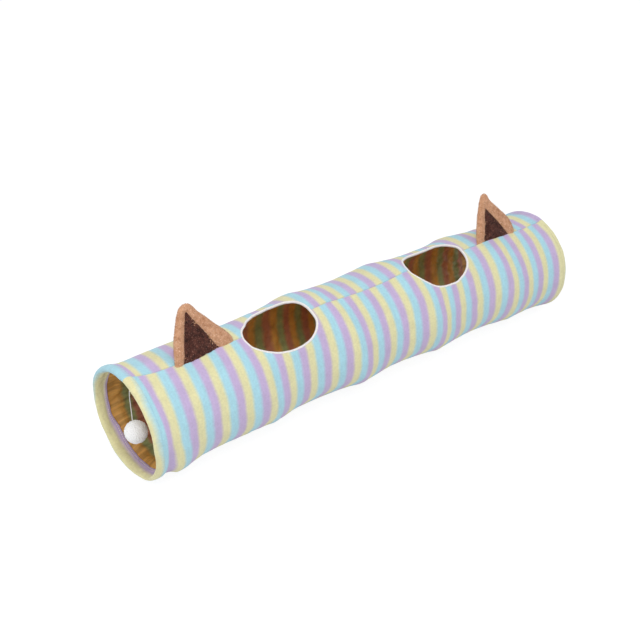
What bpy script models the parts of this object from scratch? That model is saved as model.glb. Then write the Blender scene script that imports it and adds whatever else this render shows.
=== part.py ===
"""Collapsible cat tunnel: a plush sleeve and its lining over one coiled spring wire, with hems, peep holes,
plush ears and a ball on a string. The tunnel lies along X, near mouth at -X, and rests on Z = 0."""

import math

import bmesh
import bpy
from mathutils import Matrix, Vector

OBJECT_NAME = "cat_tunnel"

# Tunnel as a whole
TUNNEL_LENGTH = 1.235
COIL_RADIUS = 0.125
CLEARANCE = 0.0003
MERGE_DISTANCE = 0.00001
OVERRUN = 0.012

# Layers of the wall, from the outside in
SLEEVE_THICKNESS = 0.003
WIRE_DIAMETER = 0.0028
LINING_THICKNESS = 0.0008
FACING_THICKNESS = 0.002
CLOTH_SAG = 0.011
BAY_GAP = 0.0012

# Mouth hems and the wire's end turns
HEM_WIDTH = 0.0135
HEM_ROUNDING = 0.004
FACING_WIDTH = 0.033
LINING_MARGIN = 0.0155
END_TURN_ADVANCE = 0.0042
CRIMP_LENGTH = 0.014
CRIMP_WALL = 0.0007
STITCH_DIAMETER = 0.001
STITCH_MARGIN = 0.004

# Peep holes on the seam, each placed from the middle of its bay
PEEP_NEAR_OFFSET = -0.0085
PEEP_FAR_OFFSET = -0.0198
PEEP_LENGTH = 0.179
PEEP_WIDTH = 0.122
BINDING_OUTSIDE = 0.0045
BINDING_INSIDE = 0.003
BINDING_PROUD = 0.0012

# Ears sewn into the seam, each placed from the middle of its bay
EAR_NEAR_OFFSET = 0.045
EAR_FAR_OFFSET = -0.057
EAR_WIDTH = 0.138
EAR_SIDES_MEET = 0.128
EAR_THICKNESS = 0.014
EAR_EDGE_ROUNDING = 0.004
EAR_TIP_RADIUS = 0.013
EAR_TIP_OFFSET = 0.017
EAR_ROOT_DEPTH = 0.020
EAR_BORDER = 0.021
EAR_FACING_DEPTH = 0.0025
EAR_CORE_BORDER = 0.011
EAR_CORE_THICKNESS = 0.004

# Ball on its string
TACK_PLACE = 0.006
TACK_DIAMETER = 0.005
STRING_DIAMETER = 0.0018
BALL_DIAMETER = 0.049
STRING_ROUTE = (
    (0.0, 0.0, 0.0),
    (0.0, 0.0, -0.004),
    (-0.0015, 0.0014, -0.020),
    (-0.0018, 0.0016, -0.038),
    (-0.0006, 0.0008, -0.060),
    (0.0001, 0.0002, -0.083),
    (0.0, 0.0, -0.0957),
)

# Angles and counts; angles run from the top towards the viewer's side at -Y
STEPS_PER_TURN = 32
FREE_STEPS = 156
START_STEPS = 10.5
LEAD_TURNS = 2
CELLS_PER_PITCH = 4
BAY_COUNT = 5
PEEP_BAYS = {2: "near", 4: "far"}
EAR_BAYS = {1: "near", 5: "far"}
PEEP_STEPS = 24
CRIMP_BORE_STEPS = 12
ROUNDING_STEPS = 2
TIP_STEPS = 6
STRING_POINTS = 18
WIRE_RESOLUTION = 1
THREAD_RESOLUTION = 0
STRING_RESOLUTION = 2
TACK_COUNTS = (12, 8)
BALL_COUNTS = (16, 10)
STEP = 2 * math.pi / STEPS_PER_TURN
WIRE_START = math.pi - START_STEPS * STEP
SEAM_ANGLE = math.radians(17.5)
TACK_ANGLE = math.radians(12.5)
PEEP_ANGLE = math.radians(20.9)
EAR_LEAN = math.radians(15)
SAG_LOW_ANGLE = 0.5 * STEP
SAG_FULL_ANGLE = math.radians(45)
SPAN_POWER = 1.5
POINTED_POWER = 1.6
ROUND_POWER = 2.15

# Sizes that follow from those above
AXIS_HEIGHT = COIL_RADIUS * math.cos(0.5 * STEP)
WIRE_DEPTH = SLEEVE_THICKNESS + CLEARANCE + 0.5 * WIRE_DIAMETER
LINING_DEPTH = SLEEVE_THICKNESS + WIRE_DIAMETER + 2 * CLEARANCE
FACING_DEPTH = LINING_DEPTH + LINING_THICKNESS + CLEARANCE
WALL_DEPTH = FACING_DEPTH + FACING_THICKNESS
HOOP_PLACE = SLEEVE_THICKNESS + CLEARANCE + 0.5 * WIRE_DIAMETER
END_STEPS = STEPS_PER_TURN + 1
END_TURN_WIDTH = END_TURN_ADVANCE * END_STEPS / STEPS_PER_TURN
HELIX_LOW = HOOP_PLACE + END_TURN_WIDTH
HELIX_HIGH = TUNNEL_LENGTH - HELIX_LOW
PITCH = (HELIX_HIGH - HELIX_LOW) * STEPS_PER_TURN / FREE_STEPS
BAY_LENGTH = TUNNEL_LENGTH / BAY_COUNT
PEEP_OFFSETS = {"near": PEEP_NEAR_OFFSET, "far": PEEP_FAR_OFFSET}
EAR_OFFSETS = {"near": EAR_NEAR_OFFSET, "far": EAR_FAR_OFFSET}
PEEP_PLACES = {which: (n - 0.5) * BAY_LENGTH + PEEP_OFFSETS[which] for n, which in PEEP_BAYS.items()}
EAR_PLACES = {which: (n - 0.5) * BAY_LENGTH + EAR_OFFSETS[which] for n, which in EAR_BAYS.items()}
BAY_EDGES = tuple(
    number * BAY_LENGTH + side * 0.5 * BAY_GAP for number in range(1, BAY_COUNT) for side in (-1, 1)
)

COLOURS = {
    "plush_sleeve": (0.70, 0.72, 0.80),
    "crinkle_lining": (0.45, 0.24, 0.08),
    "spring_steel": (0.55, 0.56, 0.58),
    "crimp_metal": (0.62, 0.60, 0.55),
    "plush_hem": (0.80, 0.78, 0.45),
    "white_binding": (0.90, 0.89, 0.86),
    "white_thread": (0.92, 0.92, 0.90),
    "tan_plush": (0.62, 0.36, 0.20),
    "brown_plush": (0.07, 0.03, 0.025),
    "ear_interlining": (0.85, 0.85, 0.82),
    "white_pompom": (0.92, 0.92, 0.93),
}
METALS = ("spring_steel", "crimp_metal")
METAL_ROUGHNESS = 0.35
CLOTH_ROUGHNESS = 0.9


def clear_scene():
    for scene_object in list(bpy.data.objects):
        bpy.data.objects.remove(scene_object, do_unlink=True)


def new_collection(name):
    collection = bpy.data.collections.new(name)
    bpy.context.scene.collection.children.link(collection)
    return collection


def make_material(name):
    material = bpy.data.materials.new(name)
    material.use_nodes = True
    shader = material.node_tree.nodes["Principled BSDF"]
    metal = name in METALS
    shader.inputs["Base Color"].default_value = (*COLOURS[name], 1)
    shader.inputs["Roughness"].default_value = METAL_ROUGHNESS if metal else CLOTH_ROUGHNESS
    shader.inputs["Metallic"].default_value = 1.0 if metal else 0.0
    material.diffuse_color = (*COLOURS[name], 1)
    return material


def add_object(name, data, collection, material=None):
    part = bpy.data.objects.new(name, data)
    collection.objects.link(part)
    if material:
        data.materials.append(material)
    if collection is CUTTERS:
        part.hide_render = True
        part.display_type = "WIRE"
    return part


def mesh_from_curve(name, curve_object, collection, material=None):
    """The curve's evaluated mesh with its caps welded, in a new object in the curve's place."""
    bpy.context.view_layer.update()
    evaluated = curve_object.evaluated_get(bpy.context.evaluated_depsgraph_get())
    mesh = bpy.data.meshes.new_from_object(evaluated)
    mesh.name = name
    bm = bmesh.new()
    bm.from_mesh(mesh)
    bmesh.ops.remove_doubles(bm, verts=bm.verts, dist=MERGE_DISTANCE)
    bmesh.ops.recalc_face_normals(bm, faces=bm.faces)
    bm.to_mesh(mesh)
    bm.free()
    mesh.materials.clear()
    part = add_object(name, mesh, collection, material)
    part.matrix_world = curve_object.matrix_world.copy()
    bpy.data.objects.remove(curve_object, do_unlink=True)
    return part


def cut(part, cutter, operation="DIFFERENCE"):
    boolean = part.modifiers.new(operation.title(), "BOOLEAN")
    boolean.operation = operation
    boolean.solver = "EXACT"
    boolean.object = cutter


def radial(angle):
    return Vector((0, -math.sin(angle), math.cos(angle)))


def wall_point(along, angle, depth):
    """A point in the wall: distance from the near end, angle from the top, depth under the outer face."""
    centre = Vector((along - 0.5 * TUNNEL_LENGTH, 0, AXIS_HEIGHT))
    return centre + (COIL_RADIUS - depth) * radial(angle)


def cloth_sag(along, angle):
    """How far the cloth draws in between two turns of the wire that holds it, and none on the floor."""
    if not FACING_WIDTH < along < TUNNEL_LENGTH - FACING_WIDTH:
        return 0.0
    turns = ((angle - WIRE_START) / (2 * math.pi)) % 1.0
    coil = HELIX_LOW + turns * PITCH
    low = coil + math.floor((along - coil + MERGE_DISTANCE) / PITCH) * PITCH
    high = min(low + PITCH, TUNNEL_LENGTH - FACING_WIDTH)
    low = max(low, FACING_WIDTH)
    span = max(high - low, MERGE_DISTANCE)
    share = min(max((along - low) / span, 0.0), 1.0)
    from_floor = abs(angle % (2 * math.pi) - math.pi)
    rise = (from_floor - SAG_LOW_ANGLE) / (SAG_FULL_ANGLE - SAG_LOW_ANGLE)
    rise = min(max(rise, 0.0), 1.0)
    side = rise * rise * (3 - 2 * rise)
    return CLOTH_SAG * side * (span / PITCH) ** SPAN_POWER * math.sin(math.pi * share)


def wall_mesh(name, depth, low, high):
    """The open wall surface at a depth, between two places along the tunnel, in rows along the helix."""
    rows = CELLS_PER_PITCH * (math.ceil(FREE_STEPS / STEPS_PER_TURN) + 2 * LEAD_TURNS)
    bm = bmesh.new()
    bmesh.ops.create_grid(bm, x_segments=STEPS_PER_TURN, y_segments=rows, size=1)
    for vertex in bm.verts:
        column = round((vertex.co.x + 1) / 2 * STEPS_PER_TURN)
        row = round((vertex.co.y + 1) / 2 * rows)
        turns = column / STEPS_PER_TURN + row / CELLS_PER_PITCH - LEAD_TURNS
        vertex.co = wall_point(HELIX_LOW + turns * PITCH, WIRE_START + column * STEP, depth)
    bmesh.ops.remove_doubles(bm, verts=bm.verts, dist=MERGE_DISTANCE)
    for place in BAY_EDGES + (FACING_WIDTH, TUNNEL_LENGTH - FACING_WIDTH):
        cut_across(bm, place)
    cut_across(bm, low, -1)
    cut_across(bm, high, 1)
    bm.normal_update()
    face = bm.faces[:][0]
    outwards = face.calc_center_median() - Vector((0, 0, AXIS_HEIGHT))
    outwards.x = 0
    if face.normal.dot(outwards) < 0:
        bmesh.ops.reverse_faces(bm, faces=bm.faces)
    for vertex in bm.verts:
        angle = math.atan2(-vertex.co.y, vertex.co.z - AXIS_HEIGHT)
        vertex.co -= cloth_sag(vertex.co.x + 0.5 * TUNNEL_LENGTH, angle) * radial(angle)
    mesh = bpy.data.meshes.new(name)
    bm.to_mesh(mesh)
    bm.free()
    return mesh


def cut_across(bm, place, side=0):
    """A row of points square across the wall; a side of -1 or 1 also clears the wall before or past it."""
    bmesh.ops.bisect_plane(
        bm,
        geom=bm.verts[:] + bm.edges[:] + bm.faces[:],
        dist=MERGE_DISTANCE,
        plane_co=(place - 0.5 * TUNNEL_LENGTH, 0, 0),
        plane_no=(side or 1, 0, 0),
        clear_outer=bool(side),
    )


def wall_shell(name, depth, thickness, low, high, collection, material=None):
    shell = add_object(name, wall_mesh(name, depth, low, high), collection, material)
    solidify = shell.modifiers.new("Thickness", "SOLIDIFY")
    solidify.thickness = thickness
    solidify.offset = -1
    return shell


def peep_outline(grow):
    """The peep hole seen square on: pointed towards the near end, rounded towards the far end."""
    half_length = 0.5 * PEEP_LENGTH + grow
    half_width = 0.5 * PEEP_WIDTH + grow
    points = []
    for number in range(PEEP_STEPS):
        turn = 2 * math.pi * number / PEEP_STEPS
        power = 2 / (ROUND_POWER if math.cos(turn) > 0 else POINTED_POWER)
        x = half_length * math.copysign(abs(math.cos(turn)) ** power, math.cos(turn))
        y = half_width * math.copysign(abs(math.sin(turn)) ** power, math.sin(turn))
        points.append((x, y))
    return points


def outline_prism(name, points, low, high, rounding=0.0):
    """A closed outline extruded from low to high along its own Z, as a mesh object among the cutters."""
    curve = bpy.data.curves.new(name + "_outline", "CURVE")
    curve.dimensions = "2D"
    curve.fill_mode = "BOTH"
    curve.extrude = 0.5 * (high - low) - rounding
    curve.bevel_depth = rounding
    curve.bevel_resolution = ROUNDING_STEPS - 1
    curve.offset = -rounding
    spline = curve.splines.new("POLY")
    spline.points.add(len(points) - 1)
    for point, (x, y) in zip(spline.points, points):
        point.co = (x, y, 0, 1)
    spline.use_cyclic_u = True
    flat = add_object(name + "_outline", curve, CUTTERS)
    prism = mesh_from_curve(name, flat, CUTTERS)
    prism.data.transform(Matrix.Translation((0, 0, 0.5 * (low + high))))
    return prism


def peep_prism(which, grow):
    """A cutter through the wall on a peep hole's own axis."""
    name = f"{which}_peep_cutter_{len(CUTTERS.objects)}"
    depth_in = COIL_RADIUS - WALL_DEPTH - CLOTH_SAG - OVERRUN
    low = depth_in * math.cos(math.asin((0.5 * PEEP_WIDTH + grow) / depth_in)) - OVERRUN
    prism = outline_prism(name, peep_outline(grow), low, COIL_RADIUS + OVERRUN)
    place = Matrix.Translation((PEEP_PLACES[which] - 0.5 * TUNNEL_LENGTH, 0, AXIS_HEIGHT))
    prism.matrix_world = place @ Matrix.Rotation(PEEP_ANGLE, 4, "X")
    return prism


def make_wall_bays():
    """The sleeve and the lining, one bay for about each turn of the spring, cut square to the tunnel."""
    for number in range(1, BAY_COUNT + 1):
        for name, depth, thickness, margin, slot in (
            ("sleeve_bay", 0.0, SLEEVE_THICKNESS, HEM_WIDTH + CLEARANCE, "plush_sleeve"),
            ("lining_bay", LINING_DEPTH, LINING_THICKNESS, LINING_MARGIN, "crinkle_lining"),
        ):
            low = max((number - 1) * BAY_LENGTH + 0.5 * BAY_GAP, margin)
            high = min(number * BAY_LENGTH - 0.5 * BAY_GAP, TUNNEL_LENGTH - margin)
            bay = wall_shell(f"{name}_{number}", depth, thickness, low, high, PARTS, MATERIALS[slot])
            if number in PEEP_BAYS:
                cut(bay, peep_prism(PEEP_BAYS[number], 0.0))


def make_bindings():
    """White tape folded over each peep hole's edge: a block grooved for the sleeve and the lining."""
    for number, which in PEEP_BAYS.items():
        low = (number - 1) * BAY_LENGTH
        high = number * BAY_LENGTH
        name = f"{which}_peep_binding"
        thickness = FACING_DEPTH + 2 * BINDING_PROUD
        tape = MATERIALS["white_binding"]
        binding = wall_shell(name, -BINDING_PROUD, thickness, low, high, PARTS, tape)
        cut(binding, peep_prism(which, BINDING_OUTSIDE), "INTERSECT")
        cut(binding, peep_prism(which, -BINDING_INSIDE))
        groove = wall_shell(
            f"{which}_groove", -CLEARANCE, FACING_DEPTH + CLEARANCE, low, high, CUTTERS
        )
        cut(groove, peep_prism(which, -CLEARANCE))
        cut(binding, groove)


def wire_points():
    """The wire's centre line: a flat end turn, the free helix and the other end turn, without a break."""
    points = []
    for step in range(-END_STEPS, FREE_STEPS + END_STEPS + 1):
        helix = min(max(step, 0), FREE_STEPS)
        advance = helix * PITCH + (step - helix) * END_TURN_ADVANCE
        along = HELIX_LOW + advance / STEPS_PER_TURN
        points.append(wall_point(along, WIRE_START + step * STEP, WIRE_DEPTH))
    return points


def tube(name, points, diameter, resolution, material, cyclic=False):
    curve = bpy.data.curves.new(name, "CURVE")
    curve.dimensions = "3D"
    curve.bevel_depth = 0.5 * diameter
    curve.bevel_resolution = resolution
    curve.use_fill_caps = True
    spline = curve.splines.new("POLY")
    spline.points.add(len(points) - 1)
    for point, place in zip(spline.points, points):
        point.co = (*place, 1)
    spline.use_cyclic_u = cyclic
    return add_object(name, curve, PARTS, MATERIALS[material])


def make_spring_wire():
    points = wire_points()
    tube("spring_wire", points, WIRE_DIAMETER, WIRE_RESOLUTION, "spring_steel")
    far_enough = STEPS_PER_TURN // 2
    gaps = [
        (one - other).length - WIRE_DIAMETER
        for number, one in enumerate(points)
        for other in points[number + far_enough :]
    ]
    print(f"spring_wire: least gap between turns {1000 * min(gaps):.2f} mm")


def crimp_block(name, start_step, collection, extra=0.0, material=None):
    """A rounded block round the two strands of wire that lie side by side over one step of an end turn."""
    angle = WIRE_START + (start_step + 0.5) * STEP
    middle = HOOP_PLACE + 0.5 * END_TURN_ADVANCE * (END_STEPS + 1) / STEPS_PER_TURN
    if start_step > 0:
        middle = TUNNEL_LENGTH - middle
    radius = (COIL_RADIUS - WIRE_DEPTH) * math.cos(0.5 * STEP)
    strand = WIRE_DIAMETER + 2 * (CLEARANCE + CRIMP_WALL)
    size = Vector((strand + END_TURN_ADVANCE, CRIMP_LENGTH, strand))
    bm = bmesh.new()
    bmesh.ops.create_cube(bm, size=1)
    bmesh.ops.scale(bm, vec=size + Vector((2 * extra, 2 * extra, 2 * extra)), verts=bm.verts)
    mesh = bpy.data.meshes.new(name)
    bm.to_mesh(mesh)
    bm.free()
    block = add_object(name, mesh, collection, material)
    block.location = Vector((middle - 0.5 * TUNNEL_LENGTH, 0, AXIS_HEIGHT)) + radius * radial(angle)
    block.rotation_euler = (angle, 0, 0)
    if not extra:
        bevel = block.modifiers.new("Rounding", "BEVEL")
        bevel.width = CRIMP_WALL
        bevel.segments = 1
        cut(block, crimp_bores(name, block))
    return block


def crimp_bores(name, block):
    """Two round bores side by side, for the wire's end and the turn that it is joined to."""
    bm = bmesh.new()
    for side in (-0.5, 0.5):
        made = bmesh.ops.create_cone(
            bm,
            cap_ends=True,
            segments=CRIMP_BORE_STEPS,
            radius1=0.5 * WIRE_DIAMETER + CLEARANCE,
            radius2=0.5 * WIRE_DIAMETER + CLEARANCE,
            depth=CRIMP_LENGTH + 2 * OVERRUN,
        )
        turn = Matrix.Translation((side * END_TURN_ADVANCE, 0, 0)) @ Matrix.Rotation(math.pi / 2, 4, "X")
        bmesh.ops.transform(bm, matrix=turn, verts=made["verts"])
    mesh = bpy.data.meshes.new(name + "_bores")
    bm.to_mesh(mesh)
    bm.free()
    bores = add_object(name + "_bores", mesh, CUTTERS)
    bores.location = block.location
    bores.rotation_euler = block.rotation_euler
    return bores


def hem_profile():
    """The hem's cloth in section, as (distance from the tunnel's end, depth): leg, roll and facing."""

    def arc(centre, radius, start, stop):
        turns = [start + (stop - start) * n / ROUNDING_STEPS for n in range(ROUNDING_STEPS + 1)]
        return [(centre[0] + radius * math.cos(t), centre[1] + radius * math.sin(t)) for t in turns]

    inner_rounding = HEM_ROUNDING - SLEEVE_THICKNESS
    inner_depth = FACING_DEPTH - inner_rounding
    quarter = math.pi / 2
    outside = arc((HEM_ROUNDING, HEM_ROUNDING), HEM_ROUNDING, -quarter, -2 * quarter)
    outside += arc((HEM_ROUNDING, WALL_DEPTH - HEM_ROUNDING), HEM_ROUNDING, 2 * quarter, quarter)
    inside = arc((HEM_ROUNDING, inner_depth), inner_rounding, quarter, 2 * quarter)
    inside += arc((HEM_ROUNDING, HEM_ROUNDING), inner_rounding, 2 * quarter, 3 * quarter)
    facing = [(FACING_WIDTH, WALL_DEPTH), (FACING_WIDTH, FACING_DEPTH)]
    leg = [(HEM_WIDTH, SLEEVE_THICKNESS), (HEM_WIDTH, 0.0)]
    return outside + facing + inside + leg


def make_hem(name, crimp_name, start_step, far):
    profile = hem_profile()
    mesh = bpy.data.meshes.new(name)
    points = []
    for along, depth in profile:
        along = TUNNEL_LENGTH - along if far else along
        radius = COIL_RADIUS - depth
        points.append(Vector((along - 0.5 * TUNNEL_LENGTH, 0, 0)) + radius * radial(WIRE_START))
    edges = [(n, (n + 1) % len(points)) for n in range(len(points))]
    mesh.from_pydata(points, edges, [])
    hem = add_object(name, mesh, PARTS, MATERIALS["plush_hem"])
    hem.location = (0, 0, AXIS_HEIGHT)
    screw = hem.modifiers.new("Turned", "SCREW")
    screw.axis = "X"
    screw.steps = STEPS_PER_TURN
    screw.render_steps = STEPS_PER_TURN
    screw.use_merge_vertices = True
    screw.merge_threshold = MERGE_DISTANCE
    screw.use_normal_calculate = True
    cut(hem, crimp_block(crimp_name + "_pocket", start_step, CUTTERS, extra=CLEARANCE))
    return hem


def make_hem_stitching(name, far):
    """The row of thread that holds the facing down, just inside its free edge."""
    along = FACING_WIDTH - STITCH_MARGIN
    along = TUNNEL_LENGTH - along if far else along
    radius = COIL_RADIUS - WALL_DEPTH - CLEARANCE - 0.5 * STITCH_DIAMETER
    centre = Vector((along - 0.5 * TUNNEL_LENGTH, 0, AXIS_HEIGHT))
    points = [centre + radius * radial(WIRE_START + n * STEP) for n in range(STEPS_PER_TURN)]
    tube(name, points, STITCH_DIAMETER, THREAD_RESOLUTION, "white_thread", cyclic=True)


def ear_outline(border, base_drop):
    """The ear's outline inside a border, as (across, up) from the middle of its base; its tip is round."""
    tip = Vector((-EAR_TIP_OFFSET, EAR_SIDES_MEET))
    corners = [Vector((side * 0.5 * EAR_WIDTH, 0)) for side in (-1, 1)]
    edges = []
    for side, corner in zip((-1, 1), corners):
        along = (tip - corner).normalized()
        inwards = Vector((along.y, -along.x)) * -side
        edges.append((corner + border * inwards, along))
    (left, left_way), (right, right_way) = edges
    span = right - left
    cross = left_way.x * right_way.y - left_way.y * right_way.x
    reach = (span.x * right_way.y - span.y * right_way.x) / cross
    inner_tip = left + reach * left_way
    radius = max(EAR_TIP_RADIUS - border, EAR_EDGE_ROUNDING)
    half_angle = 0.5 * left_way.angle(right_way)
    downwards = -(left_way + right_way).normalized()
    centre = inner_tip + downwards * radius / math.sin(half_angle)
    points = []
    left_normal = Vector((-left_way.y, left_way.x))
    right_normal = Vector((right_way.y, -right_way.x))
    start = math.atan2(left_normal.y, left_normal.x)
    stop = math.atan2(right_normal.y, right_normal.x)
    for number in range(TIP_STEPS + 1):
        turn = start + (stop - start) * number / TIP_STEPS
        points.append(centre + radius * Vector((math.cos(turn), math.sin(turn))))
    drop = Vector((0, base_drop))
    left_foot = left - left_way * left.y / left_way.y
    right_foot = right - right_way * right.y / right_way.y
    return [left_foot - drop] + [left_foot] + points + [right_foot] + [right_foot - drop]


def ear_layer(
    name, frame, border, front, back, collection, material=None, rounding=0.0, drop=EAR_ROOT_DEPTH
):
    """A flat layer of the ear between two depths behind its front face, standing in the ear's frame."""
    layer = outline_prism(name, ear_outline(border, drop), -back, -front, rounding)
    upright = Matrix.Rotation(math.pi / 2, 4, "X")
    layer.data.transform(upright @ Matrix.Translation((0, 0, 0.5 * EAR_THICKNESS)))
    layer.matrix_world = frame
    if collection is not CUTTERS:
        CUTTERS.objects.unlink(layer)
        collection.objects.link(layer)
        layer.hide_render = False
        layer.display_type = "TEXTURED"
        layer.data.materials.append(material)
    return layer


def make_ear(which):
    """A plush shell with a brown facing let into its front and a flat interlining slipped in from below."""
    root = bpy.data.objects.new(f"{which}_ear_root", None)
    PARTS.objects.link(root)
    root.location = wall_point(EAR_PLACES[which], SEAM_ANGLE, 0.0)
    root.rotation_euler = (-EAR_LEAN, 0, 0)
    bpy.context.view_layer.update()
    frame = root.matrix_world.copy()
    low = math.floor((EAR_PLACES[which] - 0.5 * EAR_WIDTH) / BAY_LENGTH) * BAY_LENGTH
    high = math.ceil((EAR_PLACES[which] + 0.5 * EAR_WIDTH) / BAY_LENGTH) * BAY_LENGTH
    under = wall_shell(f"{which}_under_ear", -CLEARANCE, COIL_RADIUS / 2, low, high, CUTTERS)
    core_front = EAR_FACING_DEPTH + 0.5 * (EAR_THICKNESS - EAR_FACING_DEPTH - EAR_CORE_THICKNESS)
    core_back = core_front + EAR_CORE_THICKNESS
    longer = EAR_ROOT_DEPTH + OVERRUN
    shell = ear_layer(
        f"{which}_ear_shell",
        frame,
        0.0,
        0.0,
        EAR_THICKNESS,
        PARTS,
        MATERIALS["tan_plush"],
        rounding=EAR_EDGE_ROUNDING,
    )
    facing = ear_layer(
        f"{which}_ear_facing",
        frame,
        EAR_BORDER + CLEARANCE,
        0.0,
        EAR_FACING_DEPTH - CLEARANCE,
        PARTS,
        MATERIALS["brown_plush"],
    )
    core = ear_layer(
        f"{which}_ear_interlining",
        frame,
        EAR_CORE_BORDER + CLEARANCE,
        core_front,
        core_back,
        PARTS,
        MATERIALS["ear_interlining"],
    )
    recess = ear_layer(
        f"{which}_facing_recess", frame, EAR_BORDER, -OVERRUN, EAR_FACING_DEPTH, CUTTERS, drop=longer
    )
    pocket = ear_layer(
        f"{which}_core_pocket",
        frame,
        EAR_CORE_BORDER,
        core_front - CLEARANCE,
        core_back + CLEARANCE,
        CUTTERS,
        drop=longer,
    )
    cut(shell, recess)
    cut(shell, pocket)
    for layer in (shell, facing, core):
        cut(layer, under)
        layer.parent = root
        layer.matrix_parent_inverse = frame.inverted()


def smooth_route(points, count):
    """Places read at even parameter steps from a smooth curve through the route's own points."""
    route = [Vector(point) for point in points]
    route = [2 * route[0] - route[1]] + route + [2 * route[-1] - route[-2]]
    places = []
    for number in range(count):
        at = number / (count - 1) * (len(points) - 1)
        first = min(int(at), len(points) - 2)
        share = at - first
        before, start, stop, after = route[first : first + 4]
        leaving = 0.5 * (stop - before) - (stop - start)
        arriving = 0.5 * (after - start) - (stop - start)
        bend = (1 - share) * leaving - share * arriving
        places.append(start.lerp(stop, share) + share * (1 - share) * bend)
    return places


def round_piece(name, diameter, counts, location, material, parent):
    segments, rings = counts
    bm = bmesh.new()
    bmesh.ops.create_uvsphere(bm, u_segments=segments, v_segments=rings, radius=0.5 * diameter)
    mesh = bpy.data.meshes.new(name)
    bm.to_mesh(mesh)
    bm.free()
    mesh.shade_smooth()
    piece = add_object(name, mesh, PARTS, MATERIALS[material])
    piece.parent = parent
    piece.location = location
    return piece


def make_ball():
    """The ball hangs by its string from a knot tacked to the facing at the top of the near mouth."""
    from_flat = (TACK_ANGLE + 0.5 * STEP) % STEP - 0.5 * STEP
    facing_radius = (COIL_RADIUS - WALL_DEPTH) * math.cos(0.5 * STEP) / math.cos(from_flat)
    depth = COIL_RADIUS - facing_radius + CLEARANCE + 0.5 * TACK_DIAMETER
    pivot = bpy.data.objects.new("ball_pivot", None)
    PARTS.objects.link(pivot)
    pivot.location = wall_point(TACK_PLACE, TACK_ANGLE, depth)
    start = Vector((0, 0, -0.5 * TACK_DIAMETER - CLEARANCE))
    route = [start + point for point in smooth_route(STRING_ROUTE, STRING_POINTS)]
    string = tube("ball_string", route, STRING_DIAMETER, STRING_RESOLUTION, "white_thread")
    string.parent = pivot
    centre = route[-1] - Vector((0, 0, CLEARANCE + 0.5 * BALL_DIAMETER))
    round_piece("string_tack", TACK_DIAMETER, TACK_COUNTS, Vector(), "white_thread", pivot)
    round_piece("hanging_ball", BALL_DIAMETER, BALL_COUNTS, centre, "white_pompom", pivot)


clear_scene()
PARTS = new_collection(OBJECT_NAME)
CUTTERS = new_collection(OBJECT_NAME + "_cutters")
MATERIALS = {name: make_material(name) for name in COLOURS}
make_wall_bays()
make_bindings()
make_spring_wire()
for end_name, end_step in (("near", -END_STEPS), ("far", FREE_STEPS + STEPS_PER_TURN)):
    crimp_block(f"{end_name}_crimp", end_step, PARTS, material=MATERIALS["crimp_metal"])
    make_hem(f"{end_name}_hem", f"{end_name}_crimp", end_step, end_name == "far")
    make_hem_stitching(f"{end_name}_hem_stitching", end_name == "far")
for ear_name in EAR_PLACES:
    make_ear(ear_name)
make_ball()
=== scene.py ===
"""The looks of a cat tunnel: striped plush over a spring coil, crinkly lining, ears, bound holes, ball."""

import math

import bpy
import numpy as np
from mathutils import Matrix, Vector, noise


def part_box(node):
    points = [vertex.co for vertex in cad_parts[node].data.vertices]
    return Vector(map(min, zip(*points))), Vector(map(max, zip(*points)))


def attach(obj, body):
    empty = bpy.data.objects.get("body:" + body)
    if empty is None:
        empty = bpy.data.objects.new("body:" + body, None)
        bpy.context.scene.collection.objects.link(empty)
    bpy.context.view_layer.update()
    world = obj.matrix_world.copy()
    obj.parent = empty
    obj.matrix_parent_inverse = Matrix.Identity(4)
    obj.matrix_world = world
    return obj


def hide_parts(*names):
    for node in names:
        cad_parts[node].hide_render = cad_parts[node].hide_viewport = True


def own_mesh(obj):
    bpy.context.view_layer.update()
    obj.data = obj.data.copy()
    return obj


# The part's own sizes, in metres
TUNNEL_LENGTH = 1.235
COIL_RADIUS = 0.125
AXIS_HEIGHT = 0.124398
WIRE_DIAMETER = 0.0028
WIRE_DEPTH = 0.0047
WIRE_START = math.radians(61.875)
HELIX_LOW = 0.00903125
HOOP_PLACE = 0.0047
PITCH = 0.249628
FREE_TURNS = 4.875
SEAM_ANGLE = math.radians(17.5)
LINING_DEPTH = 0.0064
LINING_MARGIN = 0.0155
PEEP_PLACES = {"near": 0.362, "far": 0.8447}
PEEP_ANGLE = math.radians(20.9)
# From each hole's middle to its edge, every 15 degrees, starting along the tunnel and turning to the front
PEEP_RADII = {
    "near": (
        0.091, 0.0918, 0.0857, 0.0782, 0.0706, 0.0655, 0.0636, 0.0634, 0.0667, 0.0712, 0.0795, 0.0898,
        0.0912, 0.0842, 0.0724, 0.0688, 0.065, 0.0641, 0.0628, 0.0682, 0.0745, 0.0875, 0.096, 0.094,
    ),
    "far": (
        0.0855, 0.0821, 0.0758, 0.0696, 0.065, 0.0636, 0.0613, 0.0628, 0.0675, 0.0725, 0.076, 0.0822,
        0.0905, 0.09, 0.087, 0.076, 0.064, 0.0575, 0.056, 0.0592, 0.0675, 0.081, 0.0862, 0.092,
    ),
}
# Fine steps round a hole's edge, and how many on either side the mean that rounds it takes in
PEEP_STEPS = 720
PEEP_ROUNDING = 7
PEEP_PINCH_REACH = 0.028

# Sleeve, lining and hems
HEM_EDGE = 0.012
ROLL_REACH = 0.013
ROLL_THICKNESS = 0.0112
FACING_WIDTH = 0.033
# The facing is turned in less at the back and the top: (degrees from the top, width)
FACING_WIDTHS = (
    (0, 0.029), (40, 0.03), (90, 0.033), (235, 0.033), (252, 0.026), (330, 0.025), (360, 0.029),
)
# Past this place and depth a point of the hem's section is on the facing
FACING_START = 0.0145
FACING_DEPTH = 0.0084
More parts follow.
